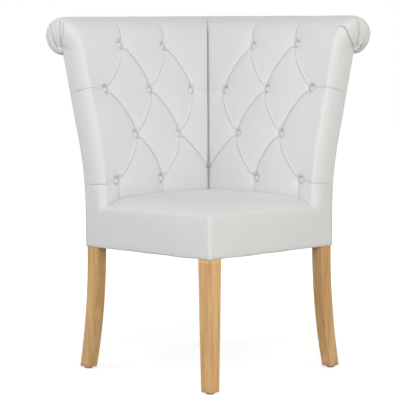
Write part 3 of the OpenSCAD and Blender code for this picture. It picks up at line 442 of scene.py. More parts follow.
def crest(l, b):
    """The padding's crest surface before tufting: x, z and the outward direction at l along the
    path and b along the wing. Past the bend the section is carried up by the crest's rise."""
    up = TILT * b
    s = l - up
    x, z = wing_pt(WING_T, l)
    f = np.clip(l / PAD_R, 0, LEAN)
    nx, nz = -np.cos(f), np.sin(f)
    for centre, radius, a0, l0 in ((BLEND_C, BLEND_R, math.pi - LEAN, BLEND_L),
                                   (ROLL_C, ROLL_R, JOIN_A, JOIN_L)):
        t = a0 - (s - l0) / radius
        on = s >= l0
        x = np.where(on, centre[0] + up * LEAN_T[0] + radius * np.cos(t), x)
        z = np.where(on, centre[1] + up * LEAN_T[1] + radius * np.sin(t), z)
        nx, nz = np.where(on, np.cos(t), nx), np.where(on, np.sin(t), nz)
    return x, z, nx, nz

# Each corner of the box as an origin: how far outward (x) and along the wing (b) turn into X and Y.
CORNERS = {
    "left": lambda x, b: (-HALF - x, -HALF + b), "right": lambda x, b: (HALF - b, HALF + x),
    "rear": lambda x, b: (-HALF - x, HALF + b), "front": lambda x, b: (HALF - x, -HALF + b)}

def place(corner, x, b, z):
    """Own coordinates to the shared frame: the left wing runs along +Y with its outer face to
    -X, the right wing is the same shape on the +Y side, running towards -X."""
    px, py = CORNERS[corner](x, b)
    return np.stack([px + SHIFT, py - SHIFT, z], axis=-1)

print("padding path: bend at", round(BLEND_L, 4), "scroll at", round(JOIN_L, 4), "end", round(END_L, 4))

# %% [markdown]
# Deep buttoning leaves three marks. Each button sits at the bottom of a dimple; pleats run
# from button to button, bowed because the upholsterer pulls the surplus towards the corner;
# and one lip of each pleat lies over the other. The real buttons stand in four staggered rows,
# so loops over the rows lay out both wings' buttons and join each to its neighbours in the next.

# %% Buttons and pleats
PITCH_B = 0.167
ROW_LOW, ROW_TOP = 0.087, 0.002
ROWS = [ROW_LOW + k * (BLEND_L - ROW_TOP - ROW_LOW) / 3 for k in range(4)]
FIRST = [0.0665, 0.160, 0.0775, 0.1615]
BUTTONS = [(FIRST[k] + m * PITCH_B, ROWS[k]) for k in range(4) for m in range(3 if k == 2 else 2)]
row_of = lambda k: [p for p in BUTTONS if p[1] == ROWS[k]]
BOW = 0.014
# The folds that run from a row's first button over the free end, and how far they drop.
EDGE_FOLDS = ((0, 0.0075), (2, -0.0005))
# Depth at the buttons and half-way, height of the lip, depth of the crease. The lip is the cloth
# on the free-end side, which lies on top.
PLEAT_KINDS = {
    "to_corner": (0.0082, 0.0048, 0.0009, 0.0028), "to_free_end": (0.0070, 0.0022, 0.0036, 0.0004),
    "down": (0.0080, 0.0060, 0.0012, 0.0012), "up": (0.0110, 0.0050, 0.0014, 0.0024),
    "over_end": (0.0060, 0.0014, 0.0003, 0.0010), "to_seam": (0.0085, 0.0050, 0.0016, 0.0028),
    "short": (0.0060, 0.0012, 0.0003, 0.0007)}
PLEATS = []

def add_pleat(kind, p, q, bow, n=9):
    """Adds the pleat from p to q, a parabola whose middle is moved by bow along the wing."""
    t = np.linspace(0, 1, n)[:, None]
    p, q = np.array(p), np.array(q)
    PLEATS.append((p + (q - p) * t + np.array([bow, 0]) * 4 * t * (1 - t), *PLEAT_KINDS[kind]))

for k in range(3):
    for p in row_of(k):
        for q in row_of(k + 1):
            if abs(q[0] - p[0]) < 0.7 * PITCH_B:
                add_pleat("to_corner" if q[0] < p[0] else "to_free_end", q, p, BOW)
for p in row_of(0):
    add_pleat("down", p, (p[0] + 0.002, -0.02), 0.001)
for p in row_of(3):
    add_pleat("up", p, (p[0] + 0.012, BLEND_L + 0.060 + TILT * p[0]), 0.001)
for k, lower in EDGE_FOLDS:
    p = row_of(k)[0]
    add_pleat("over_end", p, (-0.030, p[1] - lower), 0)
add_pleat("to_seam", row_of(1)[1], (BOX - WING_T + 0.008, ROW_LOW + 0.024), 0.006)
add_pleat("short", row_of(2)[2], (BOX - WING_T + 0.066, ROWS[2]), 0)

print(len(BUTTONS), "buttons and", len(PLEATS), "pleats on each wing")

# %% [markdown]
# The depth of the padding is a function of two distances: to the nearest button and to the
# nearest pleat. A sculpting brush could press the same marks into a mesh, but a formula gives
# every button the same well. A second function of the same distances paints shade into the
# cloth's colour along the pleats and round the buttons, where the deep folds fall into shadow.

# %% Depth of the tufting
# A button's well is steep beside the button (depth, reach, power) and wide further out (depth,
# reach). A pleat's valley reaches less far on the free-end side than on the corner's side.
WELL_R, WELL_NEAR, WELL_FAR = 0.0086, (0.0105, 0.0044, 1.4), (0.0080, 0.0200)
VALLEY_FADE, VALLEY_FREE, VALLEY_CORNER = 0.034, 0.019, 0.021
CREASE_W, LIP_W, DENT, DENT_W = 0.0020, 0.0078, 0.25, 0.0040
# Half widths of the painted shade line in a pleat and of the painted shade ring round a button, and how dark the
# shade is.
LINE_W, LINE_SHADE, RING_R, RING_W, RING_SHADE = 0.0017, 0.54, 0.0092, 0.0016, 0.36
CLEAR_R, CLEAR_LINE, CLEAR_LIP = 0.009, 0.006, 0.014
def pleat_fields(b, l):
    """For each point: distance to the nearest pleat, the side of it (+1 towards the corner), and
    that pleat's four facts. Pleats are chains of short segments; the point's place on each
    segment is clamped to its ends."""
    best = np.full(b.shape, 1e9)
    side, facts = np.zeros(b.shape), np.zeros(b.shape + (4,))
    for line, *own in PLEATS:
        for i in range(len(line) - 1):
            a, d = line[i], line[i + 1] - line[i]
            t = np.clip(((b - a[0]) * d[0] + (l - a[1]) * d[1]) / (d @ d), 0, 1)
            db, dl = b - a[0] - t * d[0], l - a[1] - t * d[1]
            dist = np.hypot(db, dl)
            closer = dist < best
            best = np.where(closer, dist, best)
            side = np.where(closer, np.sign(db * -d[1] + dl * d[0]) * np.sign(-d[1]), side)
            facts[closer] = own
    return best, side, facts

def to_button(b, l):
    """Distance to the middle of the nearest button."""
    return np.min([np.hypot(b - p[0], l - p[1]) for p in BUTTONS], axis=0)

def painted_crease_shade(b, l):
    """Painted shade in the cloth's colour: a line along each pleat that is stronger where its crease
    is sharper, and a ring under the edge of each button, where the deep folds fall into shadow."""
    r = to_button(b, l)
    dist, _, facts = pleat_fields(b, l)
    sharp = np.clip(facts[..., 3] / PLEAT_KINDS["to_corner"][3], 0, 1)
    line = sharp * np.exp(-(dist / LINE_W) ** 2) * np.clip((r - CLEAR_R) / CLEAR_LINE, 0, 1)
    return np.maximum(LINE_SHADE * line, RING_SHADE * np.exp(-((r - RING_R) / RING_W) ** 2))

def tuft_depth(b, l):
    """Depth below the crest. A button's well is steep beside the button and wide further out; a
    pleat is a valley with a narrow crease, and its lip stands up on the free-end side."""
    r = to_button(b, l)
    dist, side, facts = pleat_fields(b, l)
    near, mid, lip, crease = (facts[..., k] for k in range(4))
    gap = np.maximum(0, r - WELL_R)
    (steep, reach, power), (wide, wide_reach) = WELL_NEAR, WELL_FAR
    well = steep * np.exp(-(gap / reach) ** power) + wide * np.exp(-gap / wide_reach)
    along = mid + (near - mid) * np.exp(-r / VALLEY_FADE)
    valley = along * np.exp(-dist / np.where(side > 0, VALLEY_CORNER, VALLEY_FREE))
    depth = (well ** 3 + valley ** 3) ** (1 / 3)
    clear = np.clip((r - CLEAR_R) / CLEAR_LIP, 0, 1)
    depth += crease * clear * np.exp(-(dist / CREASE_W) ** 2)
    depth -= lip * clear * np.where(side < 0, np.exp(-(dist / LIP_W) ** 1.6), -DENT * np.exp(-dist / DENT_W))
    return depth * np.clip((END_L - l) / 0.060, 0, 1)

well_at = np.array([BUTTONS[0][0]]), np.array([BUTTONS[0][1]])
print("first button lies", round(float(tuft_depth(*well_at)[0]) * 1000, 1), "mm deep")

# %% [markdown]
# At the free end the cover turns round a padded edge onto the end face, and over the scroll its
# surplus is gathered into a dome whose folds fan out from the neck. A separate disc could be
# stuck on the end, but one skin that runs on from the front shows the same unbroken cloth as
# the real one. Its columns go from a spine on the end face, round the edge, along the front
# and into the corner seam; its rows climb the padding and go over the scroll.

# %% Rows and columns of the skin
# Columns keep their place up to B_FIXED along the wing and crowd towards the seam after it.
B_FIXED, LOW_L = 0.392, -0.002
# Spacing of the rows and columns near the buttons and away from them.
SPACING = (0.00145, 0.0027)

def smooth01(t):
    """0 below 0, 1 above 1 and 3 t^2 - 2 t^3 between them."""
    t = np.clip(t, 0, 1)
    return t * t * (3 - 2 * t)

def spread(start, stop, centres, fine, coarse, reach):
    """Places from start to stop whose spacing is fine within reach of the centres and grows
    smoothly to coarse elsewhere: the running integral of 1 / spacing is divided evenly."""
    at = np.linspace(start, stop, 4000)
    near = np.min([np.abs(at - c) for c in centres], axis=0)
    t = np.clip((near - reach) / reach, 0, 1)
    density = np.cumsum(1 / (fine + (coarse - fine) * t * t * (3 - 2 * t)))
    count = round((stop - start) / 4000 * density[-1])
    return np.interp(np.linspace(density[0], density[-1], count), density, at)

def wing_rows():
    """Row places along the padding, from just under the seat's surface to the scroll's end. A
    second row lies close to the first, so that the lower edge doesn't bend the shading above it."""
    rows = spread(LOW_L, END_L, [*ROWS, *np.arange(NECK_L + 0.01, END_L, 0.03)], *SPACING, 0.014)
    return np.insert(rows, 1, LOW_L + 0.00006)

FIXED_B = spread(END_R, B_FIXED, sorted(p[0] for p in BUTTONS), *SPACING, 0.013)

def row_l(s, b):
    """Rows follow the crest's rise over the scroll only: the share of the rise grows with s."""
    return s + smooth01((s - ROWS[3] - 0.011) / 0.05) * TILT * b

def seam_b(s):
    """Where a row's crest meets the corner: b = box side + x, solved by repeated substitution."""
    b = np.full(s.shape, BOX)
    for _ in range(12):
        b = BOX + crest(row_l(s, b), b)[0]
    return b

print(len(wing_rows()), "rows,", len(FIXED_B), "columns up to", B_FIXED, "m from the free end")

# %% [markdown]
# Real stuffing is never even, so slow waves are added to each formula, and the scroll's end gets
# its own dome. The surface then is the crest moved inward by the depth of the tufting, and
# deeper again in the corner, where the two covers are sewn together.

# %% Skin of a wing
FACE_COLS, EDGE_COLS, SEAM_COLS = 28, 20, 60
GATHER_R, GATHER_A = 0.040, math.radians(-104)
GATHER = ROLL_C + GATHER_R * np.array([math.cos(GATHER_A), math.sin(GATHER_A)])
DOME_OUT, DOME_CROWN = 0.0160, 0.0045
# The end face's cloth starts SPINE_N inside the outer back and is FACE_RUN wide.
SPINE_N, FACE_RUN = 0.0022, 0.054
U_EDGE, EDGE_MORE = END_R * (1 - math.pi / 2), 0.019
# The seam in the corner: a narrow cut and a wide dip (depth, width), and the padding's unevenness.
SEAM_CUT, SEAM_DIP, SEAM_CROWDING, UNEVEN = (0.0036, 0.0011), (0.0013, 0.011), 1.45, 0.0007

def ripple(u, v, seed):
    """Slow unevenness of hand-stuffed padding: a few crossed sine waves, between -1 and 1."""
    rng = np.random.default_rng(seed)
    total = 0
    for _ in range(7):
        wave, turn, phase = rng.uniform(0.05, 0.16), rng.uniform(0, math.pi), rng.uniform(0, 6.28)
        total = total + np.sin((u * math.cos(turn) + v * math.sin(turn)) * 2 * math.pi / wave + phase)
    return total / 7

def end_bulge(t, share):
    """Gathered end of the scroll: nothing at the gather point, most near the rim, and a low
    crown between them; share runs round the scroll from 0 to 1."""
    rim = DOME_OUT * np.sin(np.pi * np.clip(share, 0, 1)) ** 0.7
    return rim * (1 - (1 - t) ** 2) + DOME_CROWN * np.sin(np.pi * t) * np.sin(np.pi * np.clip(share, 0, 1))

def fallen(t):
    """How far the padded end face falls back: a slow convex curve, tighter at its outer edge."""
    return 0.0017 * (1 - t) ** 2 + 0.0015 * np.clip(1 - t / 0.16, 0, 1) ** 2

def wing_skin(side, seed):
    """Grid of the skin in wing coordinates (x, b, z), its cloth coordinates, row places and the
    painted shade of its pleats and button rims. Columns: the end face, a quarter ellipse round the edge (END_R
    along the wing, up to EDGE_MORE more through its thickness), and the front up to the seam."""
    s = wing_rows()[:, None]
    g = smooth01((s - NECK_L) / 0.030)
    share = (s - NECK_L) / (END_L - NECK_L)
    x0, z0, nx0, nz0 = crest(s, np.zeros_like(s))
    soft = END_R + EDGE_MORE * smooth01((s - 0.012) / 0.060) * (1 - smooth01((s - BLEND_L) / 0.060))
    edge_x, edge_z = x0 - soft * nx0, z0 - soft * nz0
    spine_x, spine_z = wing_pt(SPINE_N, s)
    spine_x, spine_z = spine_x + (GATHER[0] - spine_x) * g, spine_z + (GATHER[1] - spine_z) * g
    t = np.linspace(0, 1, FACE_COLS)[None, :-1]
    on_roll = smooth01((s - NECK_L + 0.010) / 0.030)
    face = np.stack([spine_x + (edge_x - spine_x) * t, fallen(t) - end_bulge(t, share) * on_roll,
                     spine_z + (edge_z - spine_z) * t], axis=-1)
    a = np.linspace(0, math.pi / 2, EDGE_COLS)[None, :]
    rim = end_bulge(1.0, share) * on_roll
    edge = np.stack([edge_x + soft * np.sin(a) * nx0, END_R * (1 - np.cos(a)) - rim * np.cos(a),
                     edge_z + soft * np.sin(a) * nz0], axis=-1)
    m = seam_b(s)
    q = 1 - (1 - np.linspace(0, 1, SEAM_COLS + 1)[None, 1:]) ** SEAM_CROWDING
    b = np.concatenate([np.broadcast_to(FIXED_B[1:], (len(s), len(FIXED_B) - 1)),
                        B_FIXED + (m - B_FIXED) * q], axis=1)
    l = row_l(s, b)
    x, z, nx, nz = crest(l, b)
    above = smooth01(l / 0.02)
    depth = tuft_depth(b, l) * above
    reach = np.maximum(0, m - b)
    seam = SEAM_CUT[0] * np.exp(-(reach / SEAM_CUT[1]) ** 1.5) + SEAM_DIP[0] * np.exp(-reach / SEAM_DIP[1])
    depth = depth + seam * (1 - 0.75 * smooth01((l - TILT * b - BLEND_L - 0.02) / 0.05)) * above
    depth = depth - UNEVEN * ripple(b, l, seed) * np.clip(reach / 0.02, 0, 1)
    x, z = x - depth * nx, z - depth * nz
    last = b >= m - 1e-9
    b = np.where(last, BOX + x - SEAM_GAP / 2, np.minimum(b, BOX + x - SEAM_GAP / 2))
    front = np.stack([x, b, z], axis=-1)
    u = np.concatenate([np.broadcast_to(U_EDGE - FACE_RUN * (1 - t), face.shape[:2]),
                        np.broadcast_to(U_EDGE + END_R * a, edge.shape[:2]), b], axis=1)
    v = np.broadcast_to(s, u.shape)
    fold = np.concatenate([np.zeros((len(s), face.shape[1] + edge.shape[1])), painted_crease_shade(b, l)], axis=1)
    return np.concatenate([face, edge, front], axis=1), np.stack([u, v], axis=-1), s[:, 0], fold

def normals_of(grid):
    """Unit normals of a grid surface from the cross product of its two gradients."""
    n = np.cross(np.gradient(grid, axis=1), np.gradient(grid, axis=0))
    return n / np.maximum(np.linalg.norm(n, axis=-1, keepdims=True), 1e-12)

print("gathers meet at", GATHER.round(4).tolist())

# %% [markdown]
# The gathers are drawn on the end of the scroll as curves in its own plane, measured from its
# centre (outward, up). Each is a narrow crease with softly rounded cloth on both sides. The two
# ends were gathered by hand, so they differ.

# %% Gathers at the scroll ends
GATHERS = {
    "left": [((-0.018, 0.040), (-0.024, 0.007), (-0.021, -0.018), (-0.012, -0.037), 0.0032),
             ((-0.031, 0.038), (-0.037, 0.023), (-0.035, 0.004), (-0.021, -0.024), 0.0017),
             ((0.022, 0.034), (0.010, 0.006), (0.005, -0.017), (-0.004, -0.036), 0.0034),
             ((0.041, 0.024), (0.033, -0.002), (0.020, -0.025), (-0.001, -0.040), 0.0026)],
    "right": [((-0.062, 0.024), (-0.054, 0.002), (-0.040, -0.018), (-0.017, -0.040), 0.0035),
              ((-0.012, 0.048), (-0.014, 0.020), (-0.011, -0.010), (-0.004, -0.035), 0.0042),
              ((0.028, 0.038), (0.027, 0.006), (0.012, -0.023), (-0.001, -0.037), 0.0036),
              ((0.048, 0.006), (0.040, -0.014), (0.026, -0.030), (0.002, -0.040), 0.0022)]}

# Each crease of depth cut: a narrow cut and a wider valley (share of cut, width), and the half
# width of the painted shade line along it, which is full where cut is FULL_CUT.
CUT, SIDE, SHADE_LINE_W, FULL_CUT = (1.25, 0.0017), (0.50, 0.0075), 0.0015, 0.0036

def crease_line(points, n=28):
    """The cubic curve through four points in the plane of the scroll's end, by Lagrange's
    formula with the points at t = 0, 1/3, 2/3 and 1."""
    p = np.array(points)
    t = 3 * np.linspace(0, 1, n)[:, None]
    return (-(t - 1) * (t - 2) * (t - 3) / 6 * p[0] + t * (t - 2) * (t - 3) / 2 * p[1]
            - t * (t - 1) * (t - 3) / 2 * p[2] + t * (t - 1) * (t - 2) / 6 * p[3])

def gather_depth(side, dx, dz):
    """Depth of the gathers at a place on the end of the scroll, and the painted shade laid into
    their creases: for each crease a narrow cut and a wider valley, taking the deepest where they
    run together."""
    deepest, crease_shade = np.zeros(dx.shape), np.zeros(dx.shape)
    for *points, cut in GATHERS[side]:
        line = crease_line(points)
        dist = np.min([np.hypot(dx - p[0], dz - p[1]) for p in line], axis=0)
        shape = CUT[0] * np.exp(-(dist / CUT[1]) ** 2) + SIDE[0] * np.exp(-dist / SIDE[1])
        deepest = np.maximum(deepest, cut * shape)
        crease_shade = np.maximum(crease_shade, cut / FULL_CUT * np.exp(-(dist / SHADE_LINE_W) ** 2))
    clear = smooth01((np.hypot(dx - GATHER[0] + ROLL_C[0], dz - GATHER[1] + ROLL_C[1]) - 0.003) / 0.011)
    return deepest * clear, crease_shade * clear

print("gathers:", {side: len(lines) for side, lines in GATHERS.items()})

# %% [markdown]
# A cover lies on padding, and the padding on the frame. The skin is therefore closed into a shell
# with an inner wall, which leaves room for the posts, the panel and the scroll's block. Below the
# padding the end face's cloth lies straight on the leg, as a thin plate of its own.

# %% Padded backs
HEM, PLATE, PLATE_OVER, FACE_UNEVEN = 0.0037, (31, 21), 0.0075, 0.0004
# The folds over the free end: a cut and a valley (depth, width), and how dark the painted shade in them and in
# the gathers is.
END_CUT, END_SIDE, END_FOLD_SHADE, GATHER_SHADE = (0.0016, 0.0017), (0.0008, 0.009), 0.30, 0.75
# Room for the frame behind the padding, and the padding's thickness over the scroll's block.
FRAME_ROOM, ROLL_WALL = 0.0445, 0.0192

HEM_CURL, HEM_HEIGHT = 0.0034, 0.014

def hem_curl(above):
    """How far the cloth falls back where it turns under at the hem, at a height above it: the
    end of a quarter circle."""
    return HEM_CURL * (1 - np.sqrt(1 - np.clip(1 - above / HEM_HEIGHT, 0, 1) ** 2))

def held(places, step):
    """The places with one more close before the last, so that an edge doesn't bend the shading
    of the whole row beside it."""
    return np.insert(places, -1, places[-1] - step)

def end_plate(side, seed, start):
    """The end face's cloth below the padding, down to the apron's edge: a thin closed box whose
    outer side has the same slow unevenness as the skin above it."""
    flat_to = WING_T - END_R
    n = held(np.linspace(SPINE_N, flat_to + PLATE_OVER, PLATE[1] - 1), 0.00006)[None, :]
    top = LEAN_Z + LOW_L + 0.003 - 0.012 * smooth01((n - flat_to) / 0.004)
    z = APRON_Z + (top - APRON_Z) * held(np.linspace(0, 1, PLATE[0] - 1), 0.0006)[:, None]
    n, z = np.broadcast_arrays(n, z)
    t = (n - SPINE_N) / (flat_to - SPINE_N)
    tucked = 0.00005 * smooth01((z - LEAN_Z - LOW_L) / 0.001)
    back = np.maximum(hem_curl(z - APRON_Z), fallen(np.minimum(t, 1))) + tucked
    wave = FACE_UNEVEN * ripple(-n, z, seed + 1) * np.clip(1 - t ** 4, 0, 1) + back
    front, behind = np.stack([-n, wave, z], axis=-1), np.stack([-n, np.full(n.shape, HEM), z], axis=-1)
    uv = np.stack([U_EDGE - FACE_RUN * (1 - t), z - LEAN_Z], axis=-1).reshape(-1, 2)
    points = np.concatenate([front.reshape(-1, 3), behind.reshape(-1, 3)])
    return points, shell_faces(*n.shape, start), np.concatenate([uv, uv])

def wing_back(side, seed):
    """The padded back of a wing: one closed shell of the skin, an inner wall that leaves room for
    the posts, panel and scroll block, and strips and fans that join the two; and the end plate.
    Only the cloth that shows is shaded smooth."""
    grid, uv, s, fold = wing_skin(side, seed)
    rows, cols = grid.shape[:2]
    n = normals_of(grid)
    if n[rows // 2, cols // 2, 0] > 0:
        n = -n
    first = FACE_COLS - 1 + EDGE_COLS
    on_end = np.ones((rows, cols))
    on_end[:, first:] = np.exp(-np.maximum(0, grid[:, first:, 1] - END_R) / 0.010)
    near_roll = smooth01((s - NECK_L + 0.01) / 0.03)[:, None]
    dx, dz = grid[..., 0] - ROLL_C[0], grid[..., 2] - ROLL_C[1]
    gathers, crease_shade = gather_depth(side, dx, dz)
    pinch = gathers * on_end * near_roll
    # Painted shade in the gathers' creases.
    fold = np.maximum(fold, GATHER_SHADE * crease_shade * on_end * near_roll)
    across = np.clip(1 + grid[..., 0] / (WING_T - END_R), 0, 1)
    pinch += FACE_UNEVEN * ripple(grid[..., 0] + grid[..., 1], grid[..., 2], seed + 1) * on_end * (
        1 - (1 - across) ** 4 * (1 - smooth01(s / 0.04))[:, None])
    over = np.exp(-np.maximum(0, grid[..., 1] - END_R) / 0.012) * np.clip(1 + (uv[..., 0] - U_EDGE) / 0.05, 0, 1)
    for k, lower in EDGE_FOLDS:
        away = np.abs(s[:, None] - row_of(k)[0][1] + lower)
        pinch += over * (END_CUT[0] * np.exp(-(away / END_CUT[1]) ** 2)
                         + END_SIDE[0] * np.exp(-away / END_SIDE[1]))
        # Painted shade in the folds over the free end.
        fold = np.maximum(fold, END_FOLD_SHADE * over * np.exp(-(away / SHADE_LINE_W) ** 2))
    grid = grid - n * pinch[..., None]

    x0, z0, nx0, nz0 = crest(s, np.zeros_like(s))
    m = seam_b(s)
    xm, zm, nxm, nzm = crest(row_l(s, m), m)
    wall = np.interp(s, [BLEND_L, JOIN_L], [WING_T - FRAME_ROOM, ROLL_WALL])
    spine_x, spine_z = grid[:, 0, 0], grid[:, 0, 2]
    hem = np.full_like(s, HEM)
    inner = np.stack([
        np.stack([spine_x, hem, spine_z], axis=-1),
        np.stack([x0 - wall * nx0, hem, z0 - wall * nz0], axis=-1),
        np.stack([xm - wall * nxm, BOX + xm - wall * nxm - SEAM_GAP / 2, zm - wall * nzm], axis=-1)], axis=1)
    base = rows * cols
    outer = np.arange(base).reshape(rows, cols)
    back = base + np.arange(rows * 3).reshape(rows, 3)
    quads = np.concatenate([
        grid_faces(rows, cols), grid_faces(rows, 3, base)[:, ::-1],
        strip(outer[:, 0], back[:, 0]), strip(back[:, 2], outer[:, -1])])
    fans = []
    plate, plate_quads, plate_uv = end_plate(side, seed, base + rows * 3)
    for j, flip in ((0, False), (rows - 1, True)):
        e, f = outer[j], back[j]
        fan = np.concatenate([np.stack([e[:-1], np.full(cols - 1, f[1]), e[1:]], axis=-1),
                              [[e[0], f[0], f[1]], [f[1], f[2], e[-1]]]])
        fans.append(fan[:, ::-1] if flip else fan)
    points = np.concatenate([grid.reshape(-1, 3), inner.reshape(-1, 3), plate])
    cloth = np.concatenate([uv.reshape(-1, 2), np.zeros((rows * 3, 2)), plate_uv])
    seen = np.zeros(len(quads) + len(plate_quads) + sum(len(f) for f in fans), bool)
    seen[:(rows - 1) * (cols - 1)] = True
    seen[len(quads):len(quads) + (PLATE[0] - 1) * (PLATE[1] - 1)] = True
    quads = np.concatenate([quads, plate_quads])
    o = make_piece(f"{side}_tufted_back", place(side, *points.T),
                   quads, np.concatenate(fans), cloth, seen)
    # Painted shade: the darkness of the creases, gathers and button rings goes to the cloth's colour as a point
    # attribute.
    shade_per_point = np.append(fold.ravel(), np.zeros(len(points) - fold.size)).astype(np.float32)
    o.data.attributes.new("fold", "FLOAT", "POINT").data.foreach_set("value", shade_per_point)
    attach(o, "root")
    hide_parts(f"{side}_buttoned_cover", f"{side}_back_foam", f"{side}_roll_foam")
    o.data.materials.append(LINEN)

for side, seed in (("left", 3), ("right", 11)):
    wing_back(side, seed)

# %% [markdown]
# A covered button is a metal shell wrapped in cloth: a low dome with a tight round edge, sunk to
# the bottom of its dimple and drawn a little askew by its twine. Each one is turned to the
# padding's own direction where it sits.

# %% Covered buttons
BUTTON_R, BUTTON_T, AROUND, TUCKS = 0.0083, 0.0052, 56, 28
# Profile from the middle of the underside out to the rim and up: share of the radius, of the height.
dome = np.array([[0.0, 0.0], [0.80, 0.0], [0.95, 0.14], [1.0, 0.34], [0.97, 0.52], [0.88, 0.68],
                 [0.72, 0.82], [0.50, 0.93], [0.25, 0.985]])

def covered_buttons(side, seed):
    """Each button is the dome's profile (share of the radius, share of the height) turned round
    its axis, with TUCKS small gathers in the cloth under its edge."""
    rng = np.random.default_rng(seed)
    turn = np.linspace(0, 2 * math.pi, AROUND, endpoint=False)
    points, quads, tris, uv = [], [], [], []
    for b, l in BUTTONS:
        x, z, nx, nz = (float(v) for v in crest(np.array(l), np.array(b)))
        depth = float(tuft_depth(np.array([[b]]), np.array([[l]]))[0, 0]) + 0.0006
        axis = np.array([nx, rng.normal(0, 0.07), nz + rng.normal(0, 0.07)])
        axis /= np.linalg.norm(axis)
        e1 = np.cross(axis, [0, 1, 0])
        e1 /= np.linalg.norm(e1)
        e2 = np.cross(axis, e1)
        gather = 1 - 0.012 * np.cos(TUCKS * turn)[None, :] * (dome[1:, 1:] < 0.5)
        r = BUTTON_R * dome[1:, :1] * gather * (1 + 0.03 * np.cos(turn - rng.uniform(0, 6))[None, :])
        h = np.broadcast_to(BUTTON_T * dome[1:, 1:], r.shape)
        at = np.array([x - depth * nx, b, z - depth * nz])
        ring = (at + (r * np.cos(turn))[..., None] * e1 + (r * np.sin(turn))[..., None] * e2
                + h[..., None] * axis)
        start = sum(len(p) for p in points)
        rows = len(dome) - 1
        points.append(np.concatenate([ring.reshape(-1, 3), [at], [at + BUTTON_T * axis]]))
        uv.append(np.concatenate([np.stack([r * np.cos(turn), r * np.sin(turn)], axis=-1).reshape(-1, 2),
                                  np.zeros((2, 2))]) + rng.uniform(0, 1, 2))
        quads.append(grid_faces(rows, len(turn), start, wrap=True))
        low = start + np.arange(len(turn))
        high = low + (rows - 1) * len(turn)
        ends = start + rows * len(turn)
        tris.append(np.stack([np.roll(low, -1), low, np.full(low.shape, ends)], axis=-1))
        tris.append(np.stack([high, np.roll(high, -1), np.full(low.shape, ends + 1)], axis=-1))
    p = np.concatenate(points)
    o = make_piece(f"{side}_covered_buttons", place(side, *p.T),
                   np.concatenate(quads), np.concatenate(tris), np.concatenate(uv))
    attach(o, "root")
    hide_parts(f"{side}_buttons")
    o.data.materials.append(LINEN)

for side, seed in (("left", 21), ("right", 22)):
    covered_buttons(side, seed)

# %% [markdown]
# The outsides of the wings are flat panels of the same linen, stretched over felt and folded in
# at the corner, the scroll and the apron's edge. A stretched cover is thin, so it could be a
# bare surface; a closed shell of its real thickness keeps light from leaking through.

# %% Outer backs
def outer_band(name, side, n0, n1, b0, uneven, seed):
    """A closed shell between the depths n0 and n1, from b0 to the mitre and from the apron's edge
    to the neck of the scroll. Rows climb the wing; the top edge follows the crest's rise."""
    t = np.linspace(0, 1, 130)[:, None]
    q = np.linspace(0, 1, 150)[None, :]
    def layer(n, wave):
        b = b0 + (BOX - b0) * q + 0 * t
        for _ in range(8):
            l = (APRON_Z - LEAN_Z) + (NECK_L + TILT * b - (APRON_Z - LEAN_Z)) * t
            x, z = wing_pt(n, l)
            b = b0 + (BOX + x - SEAM_GAP / 2 - b0) * q
        inside = np.sin(np.pi * np.clip(q, 0, 1)) ** 0.5 * np.sin(np.pi * np.clip(t, 0, 1)) ** 0.3
        f = np.clip(l / PAD_R, 0, LEAN)
        x = x - wave * (0.5 + 0.5 * ripple(b, l, seed)) * inside * np.cos(f)
        return np.stack([x, b, z], axis=-1), np.stack([b, l], axis=-1)
    outer, uv = layer(n0, uneven)
    inner, _ = layer(n1, 0.0)
    p = np.concatenate([outer.reshape(-1, 3), inner.reshape(-1, 3)])
    o = make_piece(name, place(side, *p.T), shell_faces(*outer.shape[:2]), None,
                   np.concatenate([uv.reshape(-1, 2)] * 2))
    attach(o, "root")
    return o

# Depths inside the outer face, between which the linen and the felt lie.
COVER_N, FELT_N, COVER_START, COVER_UNEVEN = (0.0, 0.0019), (0.0020, 0.0036), 0.0026, 0.0008
for side in ("left", "right"):
    cover = outer_band(f"{side}_outer_back", side, *COVER_N, COVER_START, COVER_UNEVEN, 31)
    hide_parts(f"{side}_outer_cover")
    cover.data.materials.append(LINEN)
    felt = outer_band(f"{side}_felt_lining", side, *FELT_N, HEM + 0.0002, 0.0, 32)
    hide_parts(f"{side}_outer_felt")
    felt.data.materials.append(FINISHES["felt"])

# %% [markdown]
# The seat is a crowned cushion that grows out of the apron: one cloth is drawn over the foam,
# round a soft edge and down to the hem under the rails. Seen from above, its outline follows the
# two open sides, turns in at the ears and runs along the wings.

# %% Outline and height of the seat
SEAT_CROWN, CROWN_RUN, SEAT_DIP, SEAT_EDGE_R, CORNER_R = 0.033, 0.060, 0.008, 0.009, 0.008
SEAT_N, EAR_N = WING_T + 0.0013, WING_T - END_R + 0.0018
FOAM_Z = RAIL_TOP + 0.0031
SEAT_MID = np.array([SEAT_N / 2, -SEAT_N / 2])
SEAT_REACH = (BOX - SEAT_N) / 2
# The front corner stands a little higher; FLATTER is the edge's share beside the wings.
CORNER_RISE, CORNER_RUN, FLATTER = 0.004, 0.16, 0.15
HEM_WAVE, APRON_UNEVEN, CROWN_UNEVEN = 0.0010, 0.0009, 0.0009
# Cloth coordinate of the hidden underside.
UNDER_V = -0.2

def even_points(line, step):
    """Points spaced evenly along a polyline."""
    line = np.asarray(line, float)
    run = np.concatenate([[0], np.cumsum(np.linalg.norm(np.diff(line, axis=0), axis=1))])
    at = np.linspace(0, run[-1], max(2, round(run[-1] / step) + 1))
    return np.stack([np.interp(at, run, line[:, k]) for k in range(2)], axis=-1)

